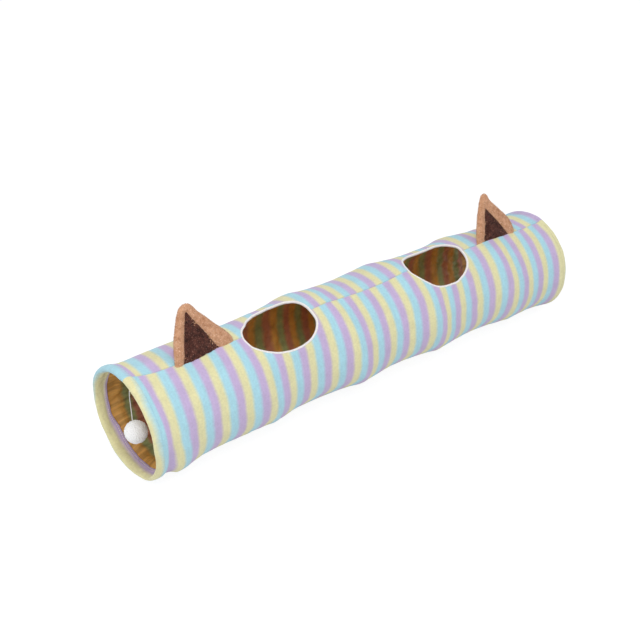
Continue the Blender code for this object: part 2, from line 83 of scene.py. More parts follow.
# The rest of the hem's section after its roll: (along, depth), inwards on the facing and back behind it
FACING_SECTION = (
    (0.015, 0.011), (0.018, 0.0104), (0.021, 0.0101), (0.024, 0.0104), (0.0268, 0.0108), (0.0285, 0.0101),
    (0.0302, 0.0106), (0.0322, 0.0106), (FACING_WIDTH + 0.0006, 0.0098), (FACING_WIDTH, 0.0088),
    (0.028, 0.0086), (0.022, 0.0085), (0.016, 0.0086), (0.0132, 0.007), (0.0132, 0.0034),
)
STITCH_MARGIN = 0.0045
STITCH_DEPTH = 0.0108
# The hem's cloth runs on under the sleeve, which draws back from a leaning hoop when the tunnel is packed
FLAP = 0.009
# The near roll stands out in front and hangs thicker at the top: (degrees from the top, reach, droop)
NEAR_ROLL = (
    (0, 0.0045, 0.006), (30, 0.006, 0.005), (60, 0.006, 0.0025), (100, 0.005, 0.001), (130, 0, 0),
    (290, 0, 0), (320, 0.0015, 0.003), (360, 0.0045, 0.006),
)
SLEEVE_THICKNESS = 0.002
SLEEVE_STEP = 0.0034
LINING_THICKNESS = 0.0005
LINING_STEP = 0.0042
# The crinkles never push the lining out into the plush
LEAST_CRINKLE = -0.0015
CLOTH_SAG = 0.011
CREASE_DEPTH = 0.0065
RIDGE_ROUNDING = 0.0045
# Turns of the real coil stray from an even helix: (place on the even helix, stray along, stray outwards)
TURN_STRAYS = (
    (0, 0, 0.001), (0.063, -0.006, 0.005), (0.192, 0.005, -0.001), (0.313, 0.008, 0),
    (0.442, 0.025, 0.007), (0.562, 0.014, 0.0005), (0.692, 0.02, 0.007), (0.812, 0.008, 0.002),
    (0.941, 0.029, 0.002), (1.062, 0.012, 0.003), (1.191, 0, 0.001), (1.235, 0, 0.001),
)
# How slack the cloth hangs between two turns: (middle of the span, share of the full sag)
SPAN_SLACK = (
    (0, 0.4), (0.095, 0.45), (0.12, 0.8), (0.15, 0.6), (0.188, 0.45), (0.317, 1), (0.437, 1.1),
    (0.567, 0.75), (0.687, 1.1), (0.816, 0.95), (0.937, 0.85), (1.066, 1), (1.145, 0.5), (1.235, 0.5),
)
BOUND_REACH = 0.045
# Where a mouth stands further out or in than its hoop: (middle, reach, degrees from the top, reach, out)
MOUTH_STRAYS = (
    (0, 0.085, 142, 40, 0.0045), (0.07, 0.035, 138, 34, 0.005), (0.034, 0.009, 122, 30, -0.006),
    (0.028, 0.01, 345, 45, -0.003), (1.208, 0.012, 345, 45, -0.0045), (0, 0.02, 300, 24, 0.003),
    (0.045, 0.035, 325, 40, -0.0035), (1.235, 0.05, 140, 38, 0.0085), (1.235, 0.03, 350, 40, 0.002),
    (1.15, 0.04, 325, 40, -0.005),
)
SEAM_DRIFT = math.radians(-5)
SEAM_DRIFT_REACH = 0.06
COLUMN_STEP = math.radians(1.5)

# Stripes, measured along the cloth from the near mouth
STRIPE_PERIOD = 0.0585
PURPLE_START = 0.01575
BACK_PHASE = 0.0325
# Cloth that the near hem and the fold behind it take up: (from, to, ((degrees past the seam, length), ...))
NEAR_TAKE_UP = (
    (0.011, 0.022, (
        (0, -0.0065), (25, -0.0055), (45, -0.0035), (75, -0.0005), (110, 0.0015), (225, 0.0015),
        (245, 0.004), (262, 0.007), (282, 0.0055), (300, 0), (335, -0.0085), (360, -0.009),
    )),
    (0.014, 0.034, (
        (0, -0.008), (45, -0.01), (75, -0.014), (105, -0.008), (135, -0.003), (182, -0.0055),
        (222, -0.0055), (282, -0.011), (335, -0.009), (360, -0.009),
    )),
    (0.05, 0.115, (
        (0, 0.001), (30, 0.004), (75, 0.004), (90, -0.002), (105, -0.008), (118, -0.012), (150, -0.006),
        (182, 0), (282, 0), (360, 0),
    )),
)

# How far the stripes have slipped towards the near mouth at these places, by degrees from the top
SLIP_PLACES = 0.031 + 0.062 * np.arange(20)
STRIPE_SLIPS = {
    0: (
        -0.0045, -0.005, -0.007, -0.007, -0.0025, -0.005, -0.009, -0.02, -0.008, -0.008,
        -0.01, -0.013, -0.008, -0.003, -0.003, -0.01, -0.013, -0.009, -0.0105, 0.001,
    ),
    45: (
        -0.0015, 0, -0.004, -0.005, -0.0042, -0.002, -0.006, -0.011, -0.009, -0.0075,
        -0.0085, -0.0095, -0.008, -0.0005, 0.002, -0.006, -0.01, -0.0065, -0.006, -0.003,
    ),
    90: (
        -0.001, 0.0005, -0.001, -0.005, -0.0075, -0.007, -0.009, -0.009, -0.0105, -0.0065,
        -0.01, -0.0085, -0.0125, 0, -0.0015, -0.0035, -0.0085, -0.008, -0.0055, 0.001,
    ),
    120: (
        -0.002, -0.0015, -0.008, -0.011, -0.015, -0.014, -0.015, -0.0175, -0.017, -0.012,
        -0.014, -0.0165, -0.019, -0.013, -0.013, -0.013, -0.009, -0.014, -0.015, -0.003,
    ),
}

# How far each hoop leans, and where its lean fades out
NEAR_LEAN = 0.004
NEAR_LEAN_ANGLE = math.radians(15)
FAR_LEAN = 0.0055
FAR_LEAN_ANGLE = math.radians(-25)
LEAN_REACH = 0.08

# Ears
EAR_PLACES = {"near": (-0.449, -0.037588, 0.243613), "far": (0.437, -0.037588, 0.243613)}
EAR_LEAN = math.radians(15)
EAR_THICKNESS = 0.014
EAR_OUTLINES = {
    "near": (
        (-0.068, 0.000), (-0.0665, 0.012), (-0.059, 0.044), (-0.0475, 0.076), (-0.0395, 0.094),
        (-0.032, 0.105), (-0.0205, 0.1105), (-0.0085, 0.1085), (-0.001, 0.101), (0.0075, 0.088),
        (0.023, 0.0712), (0.0385, 0.054), (0.055, 0.037), (0.0708, 0.02), (0.0775, 0.008),
        (0.0785, 0.000),
    ),
    "far": (
        (-0.067, 0.000), (-0.065, 0.014), (-0.062, 0.03), (-0.057, 0.052), (-0.046, 0.084),
        (-0.0375, 0.105), (-0.03, 0.115), (-0.02, 0.118), (-0.012, 0.111), (-0.005, 0.097),
        (0.02, 0.071), (0.044, 0.047), (0.056, 0.031), (0.064, 0.014), (0.0655, 0.000),
    ),
}
FACE_OUTLINES = {
    "near": (
        (-0.047, 0.000), (-0.044, 0.012), (-0.033, 0.052), (-0.024, 0.086), (-0.0205, 0.093),
        (-0.0165, 0.089), (0.0085, 0.048), (0.0385, 0.004), (0.0405, 0.000),
    ),
    "far": (
        (-0.042, 0.000), (-0.0395, 0.012), (-0.0335, 0.045), (-0.028, 0.075), (-0.0255, 0.081),
        (-0.0215, 0.077), (0.008, 0.042), (0.041, 0.003), (0.043, 0.000),
    ),
}

FIBRE_COUNT = 5200
FIBRE_LENGTH = 0.003
FIBRE_WIDTH = 0.00022

# Ball on its string
TACK_PLACE = (-0.6115, -0.024278, 0.23391)
STRING_DROP = 0.0028
STRING_DIAMETER = 0.0018
STRING_ROUTE = (
    (0.0, 0.0, 0.0),
    (0.0, 0.0, -0.004),
    (-0.0024, 0.0068, -0.02),
    (-0.003, 0.0085, -0.038),
    (-0.0027, 0.0077, -0.06),
    (-0.0023, 0.0066, -0.083),
    (-0.0023, 0.0066, -0.0957),
)
BALL_DIAMETER = 0.049

# The tape's section at a peep hole: (out from the edge, depth), from its outer margin over the edge and back
TAPE_SECTION = (
    (0.0036, 0.0007), (0.0035, -0.0004), (0.003, -0.0008), (0.0024, -0.0006), (0.0017, -0.001),
    (0.0008, -0.001), (0, -0.0006), (-0.0008, 0.0004), (-0.001, 0.002), (-0.0007, 0.0038),
    (0.0004, 0.0046), (0.0022, 0.0048), (0.0042, 0.0047), (0.0046, 0.0041), (0.003, 0.004),
    (0.001, 0.0037), (0.0005, 0.0028), (0.0008, 0.0012), (0.0022, 0.0008),
)

# Camera and light
CAMERA_PLACE = (-1.60215, -1.79162, 1.44718)
CAMERA_BACK = (-0.564849, -0.674234, 0.475767)
CAMERA_LENS = 65.78
FLOOR_REACH = 8.0
FLOOR_GAP = 0.0004

TAU = 2 * math.pi
UV_NAME = "cloth"


def smooth(low, high, value):
    share = np.clip((value - low) / (high - low), 0, 1)
    return share * share * (3 - 2 * share)


def wrapped(angle):
    return (angle + math.pi) % TAU - math.pi


def linear(*screen):
    """A colour given as it looks on a screen, 0 to 255, as linear values."""
    shares = [value / 255 for value in screen]
    return (*(s / 12.92 if s <= 0.04045 else ((s + 0.055) / 1.055) ** 2.4 for s in shares), 1)


def unit(vectors):
    return vectors / np.linalg.norm(vectors, axis=-1, keepdims=True)


def arc_lengths(points):
    """How far along a line of points each of them lies."""
    return np.concatenate([[0], np.cumsum(np.linalg.norm(np.diff(points, axis=0), axis=1))])


def between_rows(table, at, column=1):
    """A table's value at a place, where the first column says where each row stands."""
    places, *columns = zip(*table)
    return np.interp(at, places, columns[column - 1])


def bumps(points, cell, seed):
    """Smooth noise from about -1 to 1 at points in space, with features about a cell across."""
    shift = Vector((seed * 7.31, seed * 3.17, seed * 5.73))
    values = [noise.noise(Vector(point) / cell + shift) for point in points.reshape(-1, 3)]
    return np.array(values).reshape(points.shape[:-1]) * 1.6


def fold_lines(points, cell, seed):
    """Noise that is 1 along winding lines and falls off beside them."""
    return 1 - 2 * np.abs(bumps(points, cell, seed))


def round_wall(along, angle):
    """Points on a plain cylinder, where noise for the cloth is read."""
    return np.stack([along, -COIL_RADIUS * np.sin(angle), COIL_RADIUS * np.cos(angle)], axis=-1)


def coil_turn(angle):
    """Where the first free turn of the coil passes at an angle."""
    return HELIX_LOW + ((angle - WIRE_START) / TAU) % 1.0 * PITCH


def stray_along(place):
    """How far along a turn of the coil really lies past its place on an even helix."""
    return between_rows(TURN_STRAYS, place)


def draw_in(along, angle):
    """How far the cloth draws in between the turns that hold it, before its ridges are rounded."""
    turn = coil_turn(angle)
    number = np.floor((along - turn) / PITCH)
    for _ in range(2):
        low_even = turn + number * PITCH
        number = number - (along < low_even + stray_along(low_even))
        high_even = turn + (number + 1) * PITCH
        number = number + (along >= high_even + stray_along(high_even))
    hoops = (HOOP_PLACE, TUNNEL_LENGTH - HOOP_PLACE)
    even = [np.clip(turn + (number + step) * PITCH, *hoops) for step in (0, 1)]
    low, high = (place + stray_along(place) for place in even)
    low_out, high_out = (between_rows(TURN_STRAYS, place, 2) for place in even)
    span = np.maximum(high - low, 0.0001)
    share = np.clip((along - low) / span, 0, 1)
    narrow = 1 - smooth(0.06, 0.15, span)
    lopsided = 1 + 1.8 * narrow * (even[0] <= HOOP_PLACE)
    shape = np.abs(np.sin(math.pi * share**lopsided))
    slack = between_rows(SPAN_SLACK, 0.5 * (even[0] + even[1]))
    sag = CLOTH_SAG * slack * (span / PITCH) ** 1.2 * shape**0.9
    crease = CREASE_DEPTH * smooth(0.008, 0.035, span) * narrow * shape**1.4
    out = (1 - share) * low_out + share * high_out
    side = smooth(math.radians(4), math.radians(38), np.abs(wrapped(angle - math.pi)))
    return (sag * held_taut(along, angle) + crease - out - mouth_stray(along, angle)) * side


def peep_radius(turn, which):
    """From a peep hole's middle to its edge in a direction."""
    radii = PEEP_RADII[which]
    steps = np.arange(PEEP_STEPS)
    fine = np.interp(steps * len(radii) / PEEP_STEPS, np.arange(len(radii)), radii, period=len(radii))
    close = range(-PEEP_ROUNDING, PEEP_ROUNDING + 1)
    soft = sum(np.roll(fine, shift) for shift in close) / len(close)
    return np.interp(turn, steps * TAU / PEEP_STEPS, soft, period=TAU)


def from_peep(along, angle, which):
    """A point's offset from a hole's middle in the cloth, its distance, and the edge's in that direction."""
    u = along - PEEP_PLACES[which]
    w = wrapped(angle - PEEP_ANGLE) * COIL_RADIUS
    return u, w, np.hypot(u, w), peep_radius(np.arctan2(w, u), which)


def beyond_peep(along, angle):
    """How far a point lies outside the nearest peep hole's edge."""
    spots = [from_peep(along, angle, which) for which in PEEP_PLACES]
    return np.minimum(*(distance - edge for _, _, distance, edge in spots))


def held_taut(along, angle):
    """What is left of the sag near the peep holes' bound edges and the far ear."""
    left = 1 - 0.85 * np.exp(-((np.maximum(beyond_peep(along, angle), 0) / BOUND_REACH) ** 2))
    far_ear = EAR_PLACES["far"][0] + 0.5 * TUNNEL_LENGTH
    across = wrapped(angle - SEAM_ANGLE) * COIL_RADIUS
    outside = np.hypot(np.maximum(np.abs(along - far_ear) - 0.05, 0), across)
    return left * (1 - 0.6 * np.exp(-((outside / 0.032) ** 2)))


def mouth_stray(along, angle):
    """How much further out the cloth stands beside a mouth than on an even hoop."""
    out = 0
    for middle, reach, degrees, spread, far_out in MOUTH_STRAYS:
        turned = wrapped(angle - math.radians(degrees)) / math.radians(spread)
        out = out + far_out * np.exp(-(((along - middle) / reach) ** 2) - turned**2)
    return out


class DipField:
    """The cloth's draw-in on a fine grid, with rounded ridges, read at any place."""

    def __init__(self):
        self.step = 0.002
        self.columns = 360
        along = np.arange(0, TUNNEL_LENGTH + self.step, self.step)
        angle = np.arange(self.columns) * TAU / self.columns
        raw = draw_in(*np.meshgrid(along, angle, indexing="ij"))
        reach = int(3 * RIDGE_ROUNDING / self.step)
        weights = np.exp(-0.5 * (np.arange(-reach, reach + 1) * self.step / RIDGE_ROUNDING) ** 2)
        padded = np.pad(raw, ((reach, reach), (0, 0)), mode="reflect", reflect_type="odd")
        soft = sum(w * padded[k : k + len(along)] for k, w in enumerate(weights / weights.sum()))
        around = range(-3, 4)
        self.grid = sum(np.roll(soft, shift, axis=1) for shift in around) / len(around)

    def __call__(self, along, angle):
        row = np.clip(along / self.step, 0, len(self.grid) - 1.001)
        column = angle % TAU / TAU * self.columns
        i = row.astype(int)
        j = column.astype(int)
        total = 0
        for down, row_share in ((0, 1 - row + i), (1, row - i)):
            for right, column_share in ((0, 1 - column + j), (1, column - j)):
                total = total + row_share * column_share * self.grid[i + down, (j + right) % self.columns]
        return total


def hoop_lean(along, angle):
    near = -NEAR_LEAN * (1 + np.cos(angle - NEAR_LEAN_ANGLE)) * (1 - smooth(0, LEAN_REACH, along))
    far_share = smooth(TUNNEL_LENGTH - LEAN_REACH, TUNNEL_LENGTH, along)
    return near - FAR_LEAN * np.cos(angle - FAR_LEAN_ANGLE) * far_share


def wall(along, angle, depth):
    """A point of the cloth wall, by its place along the tunnel, angle from the top and depth in the wall."""
    radius = COIL_RADIUS - depth - dip(along, angle)
    x = along - 0.5 * TUNNEL_LENGTH + hoop_lean(along, angle)
    y = -radius * np.sin(angle)
    z = AXIS_HEIGHT + radius * np.cos(angle)
    return np.stack([x, y, np.maximum(z, 0.0003 + np.maximum(depth, 0))], axis=-1)


def cloth_wall(along, angle, depth):
    """A point of the sewn cloth, whose seam drifts towards the top beside the near mouth."""
    return wall(along, angle + SEAM_DRIFT * (1 - smooth(0, SEAM_DRIFT_REACH, along)), depth)


def stripe_place(along, angle):
    """Where a point lies on the striped cloth; the cloth's two edges meet at the seam out of step."""
    past_seam = angle - SEAM_ANGLE
    turned = np.where(past_seam >= TAU - 1e-6, TAU, past_seam % TAU)
    back = smooth(math.radians(245), math.radians(350), turned)
    drift = -0.006 + 0.014 * along / TUNNEL_LENGTH
    far = 1 - smooth(0.01, 0.06, TUNNEL_LENGTH - along)
    place = along + back * (BACK_PHASE + drift) - (0.0045 + 0.006 * back) * far + slip(along, angle)
    for low, high, table in NEAR_TAKE_UP:
        place = place + (1 - smooth(low, high, along)) * between_rows(table, np.degrees(turned))
    return place


def slip(along, angle):
    """The stripes' slip at a place, carried evenly round the side that rests on the floor."""
    stations = (*STRIPE_SLIPS, 330, 360)
    rows = (*STRIPE_SLIPS.values(), STRIPE_SLIPS[0], STRIPE_SLIPS[0])
    around = np.degrees(angle) % 360
    return sum(
        np.interp(along, SLIP_PLACES, row) * np.interp(around, stations, hat)
        for row, hat in zip(rows, np.eye(len(stations)))
    )


def mesh_object(name, points, faces, uvs=None):
    """An object from arrays of points and faces, with one UV pair per face corner."""
    mesh = bpy.data.meshes.new(name)
    used = np.unique(np.concatenate([np.ravel(face) for face in faces]))
    new_number = np.full(len(points), -1)
    new_number[used] = np.arange(len(used))
    rows = [new_number[np.asarray(face)].tolist() for face in faces]
    mesh.from_pydata(np.asarray(points)[used].tolist(), [], rows)
    if uvs is not None:
        layer = mesh.uv_layers.new(name=UV_NAME)
        layer.data.foreach_set("uv", np.asarray(uvs, dtype=np.float32).ravel())
    mesh.shade_smooth()
    thing = bpy.data.objects.new(name, mesh)
    bpy.context.scene.collection.objects.link(thing)
    return thing


def grid_faces(rows, columns):
    """Faces of rows of points that close on themselves, facing out where they run with the wall's angle."""
    i, j = (side.ravel() for side in np.meshgrid(np.arange(rows - 1), np.arange(columns), indexing="ij"))
    after = (j + 1) % columns
    low = i * columns
    high = low + columns
    return np.stack([low + j, low + after, high + after, high + j], axis=1)


def grid_uvs(u, v):
    """UV corners for grid_faces; u and v have one column more than the grid, which closes on itself."""
    rows, columns = np.subtract(u.shape, 1)
    corners = []
    for down, right in ((0, 0), (0, 1), (1, 1), (1, 0)):
        corner = [part[down : rows + down, right : columns + right].ravel() for part in (u, v)]
        corners.append(np.stack(corner, axis=1))
    return np.stack(corners, axis=1)


def ring_of_cloth(name, rows, u, v, flip):
    """A closed ring from the lines of points round its section; u and v have a row and a column more."""
    count = len(rows[0])
    faces = grid_faces(len(rows) + 1, count) % (len(rows) * count)
    uvs = grid_uvs(u, v)
    if flip:
        faces = faces[:, ::-1]
        uvs = uvs[:, ::-1]
    return mesh_object(name, np.concatenate(rows), faces, uvs)


def tube_faces(rows, sides, closed=False):
    """Faces of a tube of rings, which closes on itself or has a cap at each end."""
    if closed:
        return [tuple(face) for face in grid_faces(rows + 1, sides) % (rows * sides)]
    caps = [tuple(range(sides))[::-1], tuple(range((rows - 1) * sides, rows * sides))]
    return [tuple(face) for face in grid_faces(rows, sides)] + caps


def repeated(faces, count, size):
    """The faces of one shape for each of its copies, which have size points each."""
    return [tuple(start + k for k in face) for start in range(0, count * size, size) for face in faces]


def apply_modifiers(thing):
    graph = bpy.context.evaluated_depsgraph_get()
    mesh = bpy.data.meshes.new_from_object(thing.evaluated_get(graph))
    thing.modifiers.clear()
    thing.data = mesh
    mesh.shade_smooth()
    return thing


def seam_columns():
    """Angles round the wall from the seam back to the seam, closer together beside it."""
    close = np.radians([0, 0.25, 0.55, 0.95, 1.5, 2.2])
    count = int(round((TAU - 2 * close[-1]) / COLUMN_STEP))
    middle = np.linspace(close[-1], TAU - close[-1], count + 1)
    far_side = TAU - close[::-1][1:-1]
    return SEAM_ANGLE + np.concatenate([close[:-1], middle, far_side])


def cut_peep_holes(along, angle, faces):
    """Leaves out the faces inside each peep hole and moves the points beside them to its edge."""
    along = along.ravel().copy()
    angle = angle.ravel().copy()
    kept = np.ones(len(faces), dtype=bool)
    for which in PEEP_PLACES:
        u, w, distance, edge_distance = from_peep(along, angle, which)
        shares = (distance / edge_distance)[faces]
        inside = np.sort(shares, axis=1)[:, 1:3].mean(axis=1) < 1
        kept &= ~inside
        edge = np.intersect1d(np.unique(faces[inside]), np.unique(faces[~inside]))
        scale = edge_distance[edge] / distance[edge]
        along[edge] = PEEP_PLACES[which] + u[edge] * scale
        angle[edge] += w[edge] * (scale - 1) / COIL_RADIUS
    return along, angle, kept


def from_mouth(along):
    return np.minimum(along, TUNNEL_LENGTH - along)


def wall_sheet(name, margin, row_step, depth_at, thickness, first_place=-math.inf):
    """A sheet of the wall from mouth to mouth with both peep holes, as a closed shell."""
    count = int(round((TUNNEL_LENGTH - 2 * margin) / row_step)) + 1
    places = np.linspace(margin, TUNNEL_LENGTH - margin, count)
    grid = np.meshgrid(places, seam_columns(), indexing="ij")
    faces = grid_faces(*grid[0].shape)
    along, angle, kept = cut_peep_holes(*grid, faces)
    points = cloth_wall(along, angle, depth_at(along, angle))
    along = along.reshape(count, -1)
    angle = angle.reshape(count, -1)
    along = np.concatenate([along, along[:, :1]], axis=1)
    angle = np.concatenate([angle, angle[:, :1] + TAU], axis=1)
    place = np.maximum(stripe_place(along, angle), first_place)
    uvs = grid_uvs((angle - SEAM_ANGLE) * COIL_RADIUS, place)
    thing = mesh_object(name, points, faces[kept], uvs[kept])
    shell = thing.modifiers.new("Thickness", "SOLIDIFY")
    shell.thickness = thickness
    shell.offset = -1
    return apply_modifiers(thing)


def sleeve_depth(along, angle):
    """The plush's own unevenness: a groove at the seam, the front edge proud of it, and soft lumps."""
    across = wrapped(angle - SEAM_ANGLE) * COIL_RADIUS
    groove = 0.0022 * np.exp(-((across / 0.0012) ** 2))
    from_ears = [along - 0.5 * TUNNEL_LENGTH - place[0] for place in EAR_PLACES.values()]
    by_ears = sum(np.exp(-((distance / 0.06) ** 4)) for distance in from_ears)
    front = (across > 0) * np.exp(-across.clip(0, 1) / 0.007) * (0.0012 + 0.0016 * by_ears)
    points = round_wall(along, angle)
    lumps = 0.0009 * bumps(points, 0.07, 1) + 0.0005 * bumps(points, 0.024, 2)
    pile = 0.00018 * bumps(points, 0.006, 3)
    inner = smooth(0, 0.02, from_mouth(along) - HEM_EDGE) * smooth(0, 0.022, beyond_peep(along, angle))
    return groove + (lumps + pile - front) * inner


def lining_depth(along, angle):
    """The crinkles of the thin lining, which end under the facings and are gathered beside the mouths."""
    points = round_wall(along, angle)
    crinkle = 0.0022 + 0.0020 * fold_lines(points * (1.0, 0.55, 0.55), 0.030, 11)
    crinkle += 0.0010 * fold_lines(points, 0.013, 12) + 0.0003 * fold_lines(points, 0.006, 13)
    by_mouth = 1 - smooth(0.10, 0.22, from_mouth(along))
    crinkle += 0.0042 * fold_lines(points * (0.25, 1.0, 1.0), 0.017, 14) * by_mouth
    crinkle = np.maximum(crinkle, LEAST_CRINKLE) * smooth(FACING_WIDTH - 0.008, 0.055, from_mouth(along))
    pinched_in = 1 - smooth(0.0, PEEP_PINCH_REACH, beyond_peep(along, angle))
    return (LINING_DEPTH + crinkle + 0.0002) * (1 - pinched_in) + 0.0034 * pinched_in


def hem_profile():
    """The hem's section as (along, depth, arc from the hem's outer edge), out, round and back inside."""
    half = 0.5 * ROLL_THICKNESS
    turns = math.pi * np.arange(17) / 16
    roll = zip(HEM_EDGE - ROLL_REACH * np.sin(turns), half - half * np.cos(turns))
    section = np.array([*roll, *FACING_SECTION])
    flap_end = HEM_EDGE + FLAP
    flap = [(flap_end, 0.0032, -FLAP), (flap_end, 0.0023, -FLAP), (HEM_EDGE + 0.0015, 0.0022, -0.0015)]
    return [*zip(*section.T, arc_lengths(section)), *flap]


def make_hem(which):
    """The rolled hem over a hoop with its facing inside the mouth, one closed ring of cloth."""
    columns = seam_columns()
    angle = np.append(columns, columns[0] + TAU)
    facing = round_table(FACING_WIDTHS, angle)
    reach = round_table(NEAR_ROLL, angle, 1)
    droop = round_table(NEAR_ROLL, angle, 2)
    arc_share = -0.72 if which == "near" else 0.45
    edge = HEM_EDGE if which == "near" else TUNNEL_LENGTH - HEM_EDGE
    outside = stripe_place(np.full(len(angle), edge), angle)
    profile = hem_profile()
    rows = []
    for place, depth, arc in profile:
        along = np.full(len(angle), place)
        if depth > FACING_DEPTH and place > FACING_START:
            stretch = (facing - FACING_START) / (FACING_WIDTH - FACING_START)
            along = FACING_START + (place - FACING_START) * stretch
        hanging = 0
        if which == "near":
            along = along - max(HEM_EDGE - place, 0) / ROLL_REACH * reach
            hanging = droop * smooth(0.002, 0.009, depth) * (1 - smooth(0.0085, FACING_START, place))
        else:
            along = TUNNEL_LENGTH - along
        spots = round_wall(along, angle)
        inside = smooth(0.002, 0.010, depth)
        puckers = inside * (0.0007 * bumps(spots, 0.02, 4) + 0.0006 * bumps(spots, 0.008, 5))
        soft = smooth(0.0, 0.006, arc) * (0.0007 * bumps(spots, 0.035, 6) + 0.0003 * bumps(spots, 0.012, 7))
        sideways = smooth(0.004, 0.012, arc) * 0.0010 * bumps(spots, 0.045, 8)
        rows.append(cloth_wall(along + sideways, angle, depth + hanging + puckers + soft)[:-1])
    arcs = np.array([arc for _, _, arc in profile + profile[:1]])
    u = np.tile((angle - SEAM_ANGLE) * COIL_RADIUS, (len(arcs), 1))
    v = outside + arc_share * arcs[:, None]
    return ring_of_cloth(f"{which}_rolled_hem", rows, u, v, flip=which == "near")


def tube(name, centres, radius, sides, closed=False, ply=None):
    """A tube of rings about a line of points; a ply length twists two strands into its surface."""
    if closed:
        ways = unit(np.roll(centres, -1, axis=0) - np.roll(centres, 1, axis=0))
    else:
        ways = unit(np.gradient(centres, axis=0))
    side = np.cross(ways[0], (0.31, 0.52, 0.79))
    turns = np.arange(sides)[:, None] * TAU / sides
    rings = []
    for centre, way, arc in zip(centres, ways, arc_lengths(centres)):
        side = unit(side - way * side.dot(way))
        size = radius
        if ply:
            size = radius * (0.93 + 0.10 * np.abs(np.cos(turns - TAU * arc / ply)))
        rings.append(centre + size * (np.cos(turns) * side + np.sin(turns) * np.cross(way, side)))
    return mesh_object(name, np.concatenate(rings), tube_faces(len(centres), sides, closed))


def bars(name, starts, ends, outs, radius):
    """Short rounded stitches, each from its start to its end and arched outwards, as one object."""
    sides = 6
    # Rings along a stitch: (share of its length, size, lift)
    stations = ((0, 0.35, -0.9), (0.12, 0.85, -0.2), (0.5, 1, 0.25), (0.88, 0.85, -0.2), (1, 0.35, -0.9))
    across = np.cross(unit(ends - starts), outs)
    points = []
    for share, size, lift in stations:
        centres = starts + (ends - starts) * share + outs * lift * radius
        for turn in np.arange(sides) * TAU / sides:
            points.append(centres + size * radius * (math.cos(turn) * outs + math.sin(turn) * across))
    faces = repeated(tube_faces(len(stations), sides), len(starts), len(points))
    return mesh_object(name, np.stack(points, axis=1).reshape(-1, 3), faces)


def make_hem_stitching(which):
    """A row of stitches near the facing's inner edge."""
    count = 150
    angles = SEAM_ANGLE + np.arange(count) * TAU / count
    half = 0.34 * TAU / count
    along = round_table(FACING_WIDTHS, angles) - STITCH_MARGIN
    if which == "far":
        along = TUNNEL_LENGTH - along
    starts, ends = (cloth_wall(along, angles + turn, STITCH_DEPTH) for turn in (-half, half))
    outs = np.stack([np.zeros(count), np.sin(angles), -np.cos(angles)], axis=1)
    return bars(f"{which}_hem_stitches", starts, ends, outs, 0.0006)


def make_wire():
    """The coil: a flat turn in each hem and the free turns between them."""
    steps = 48
    free = np.arange(int(FREE_TURNS * steps) + 1)
    flat = np.arange(1, steps)
    rise = (HELIX_LOW - HOOP_PLACE) / steps
    step = TAU / steps
    angle = np.concatenate([-flat[::-1] * step, free * step, (free[-1] + flat) * step]) + WIRE_START
    far = free[-1] * PITCH / steps
    along = np.concatenate([-flat[::-1] * rise, free * PITCH / steps, far + flat * rise]) + HELIX_LOW
    along = along + stray_along(along)
    return tube("coil_wire", wall(along, angle, WIRE_DEPTH), 0.5 * WIRE_DIAMETER, 8)


def peep_edge(which, count):
    """Evenly spaced points of a peep hole's edge as (along, across), with their outward directions."""
    turn = np.linspace(0, TAU, 4001)
    edge = peep_radius(turn, which)[:, None] * np.stack([np.cos(turn), np.sin(turn)], axis=1)
    arcs = arc_lengths(edge)
    wanted = np.arange(count) * arcs[-1] / count
    points = np.stack([np.interp(wanted, arcs, column) for column in edge.T], axis=1)
    ways = unit(np.roll(points, -2, axis=0) - np.roll(points, 2, axis=0))
    return points, np.stack([ways[:, 1], -ways[:, 0]], axis=1), wanted


def beside_edge(which, edge, outwards, out):
    """Places along the wall and angles that stand off a peep hole's edge by a distance."""
    spots = edge + out * outwards
    return PEEP_PLACES[which] + spots[:, 0], PEEP_ANGLE + spots[:, 1] / COIL_RADIUS


def make_tape(which):
    """White tape folded over a peep hole's edge, where the plush and the lining are sewn together."""
    count = 220
    edge, outwards, arcs = peep_edge(which, count)
    rows = []
    for out, depth in TAPE_SECTION:
        along, angle = beside_edge(which, edge, outwards, out)
        rows.append(wall(along, angle, depth + 0.00025 * bumps(round_wall(along, angle), 0.011, 21)))
    u = np.tile(np.append(arcs, arcs[-1] + arcs[1]), (len(rows) + 1, 1))
    v = np.tile(np.arange(len(rows) + 1)[:, None] * 0.0012, (1, count + 1))
    return ring_of_cloth(f"{which}_peep_tape", rows, u, v, flip=True)


def make_tape_stitching(which):
    """The line of stitches that holds the tape, near its outer margin."""
    count = 124
    edge, outwards, _ = peep_edge(which, 2 * count)
    along, angle = beside_edge(which, edge, outwards, 0.0025)
    points = wall(along, angle, -0.0007)
    outs = np.stack([np.zeros(2 * count), -np.sin(angle), np.cos(angle)], axis=1)
    ends = points[1::2] + 0.35 * (points[1::2] - points[0::2])
    return bars(f"{which}_tape_stitches", points[0::2], ends, outs[0::2], 0.0004)


def round_outline(corners, drop):
    """A smooth line through the corners of an ear's outline, with its feet carried down by a drop."""
    corners = np.array(corners)
    ends = np.concatenate([2 * corners[:1] - corners[1:2], corners, 2 * corners[-1:] - corners[-2:-1]])
    points = [corners[0] - (0, drop)]
    for before, first, second, after in zip(ends, ends[1:], ends[2:], ends[3:]):
        square = 2 * before - 5 * first + 4 * second - after
        cube = 3 * first - before - 3 * second + after
        for share in np.arange(6) / 6:
            points.append(first + 0.5 * ((second - before) * share + square * share**2 + cube * share**3))
    return np.array(points + [corners[-1], corners[-1] - (0, drop)])


def distance_to_sides(points, outline):
    """How far each point is from an outline, leaving out the outline's straight base."""
    best = np.full(len(points), 1.0)
    for first, second in zip(outline, outline[1:]):
        span = second - first
        share = np.clip((points - first) @ span / (span @ span), 0, 1)
        best = np.minimum(best, np.linalg.norm(points - first - share[:, None] * span, axis=1))
    return best


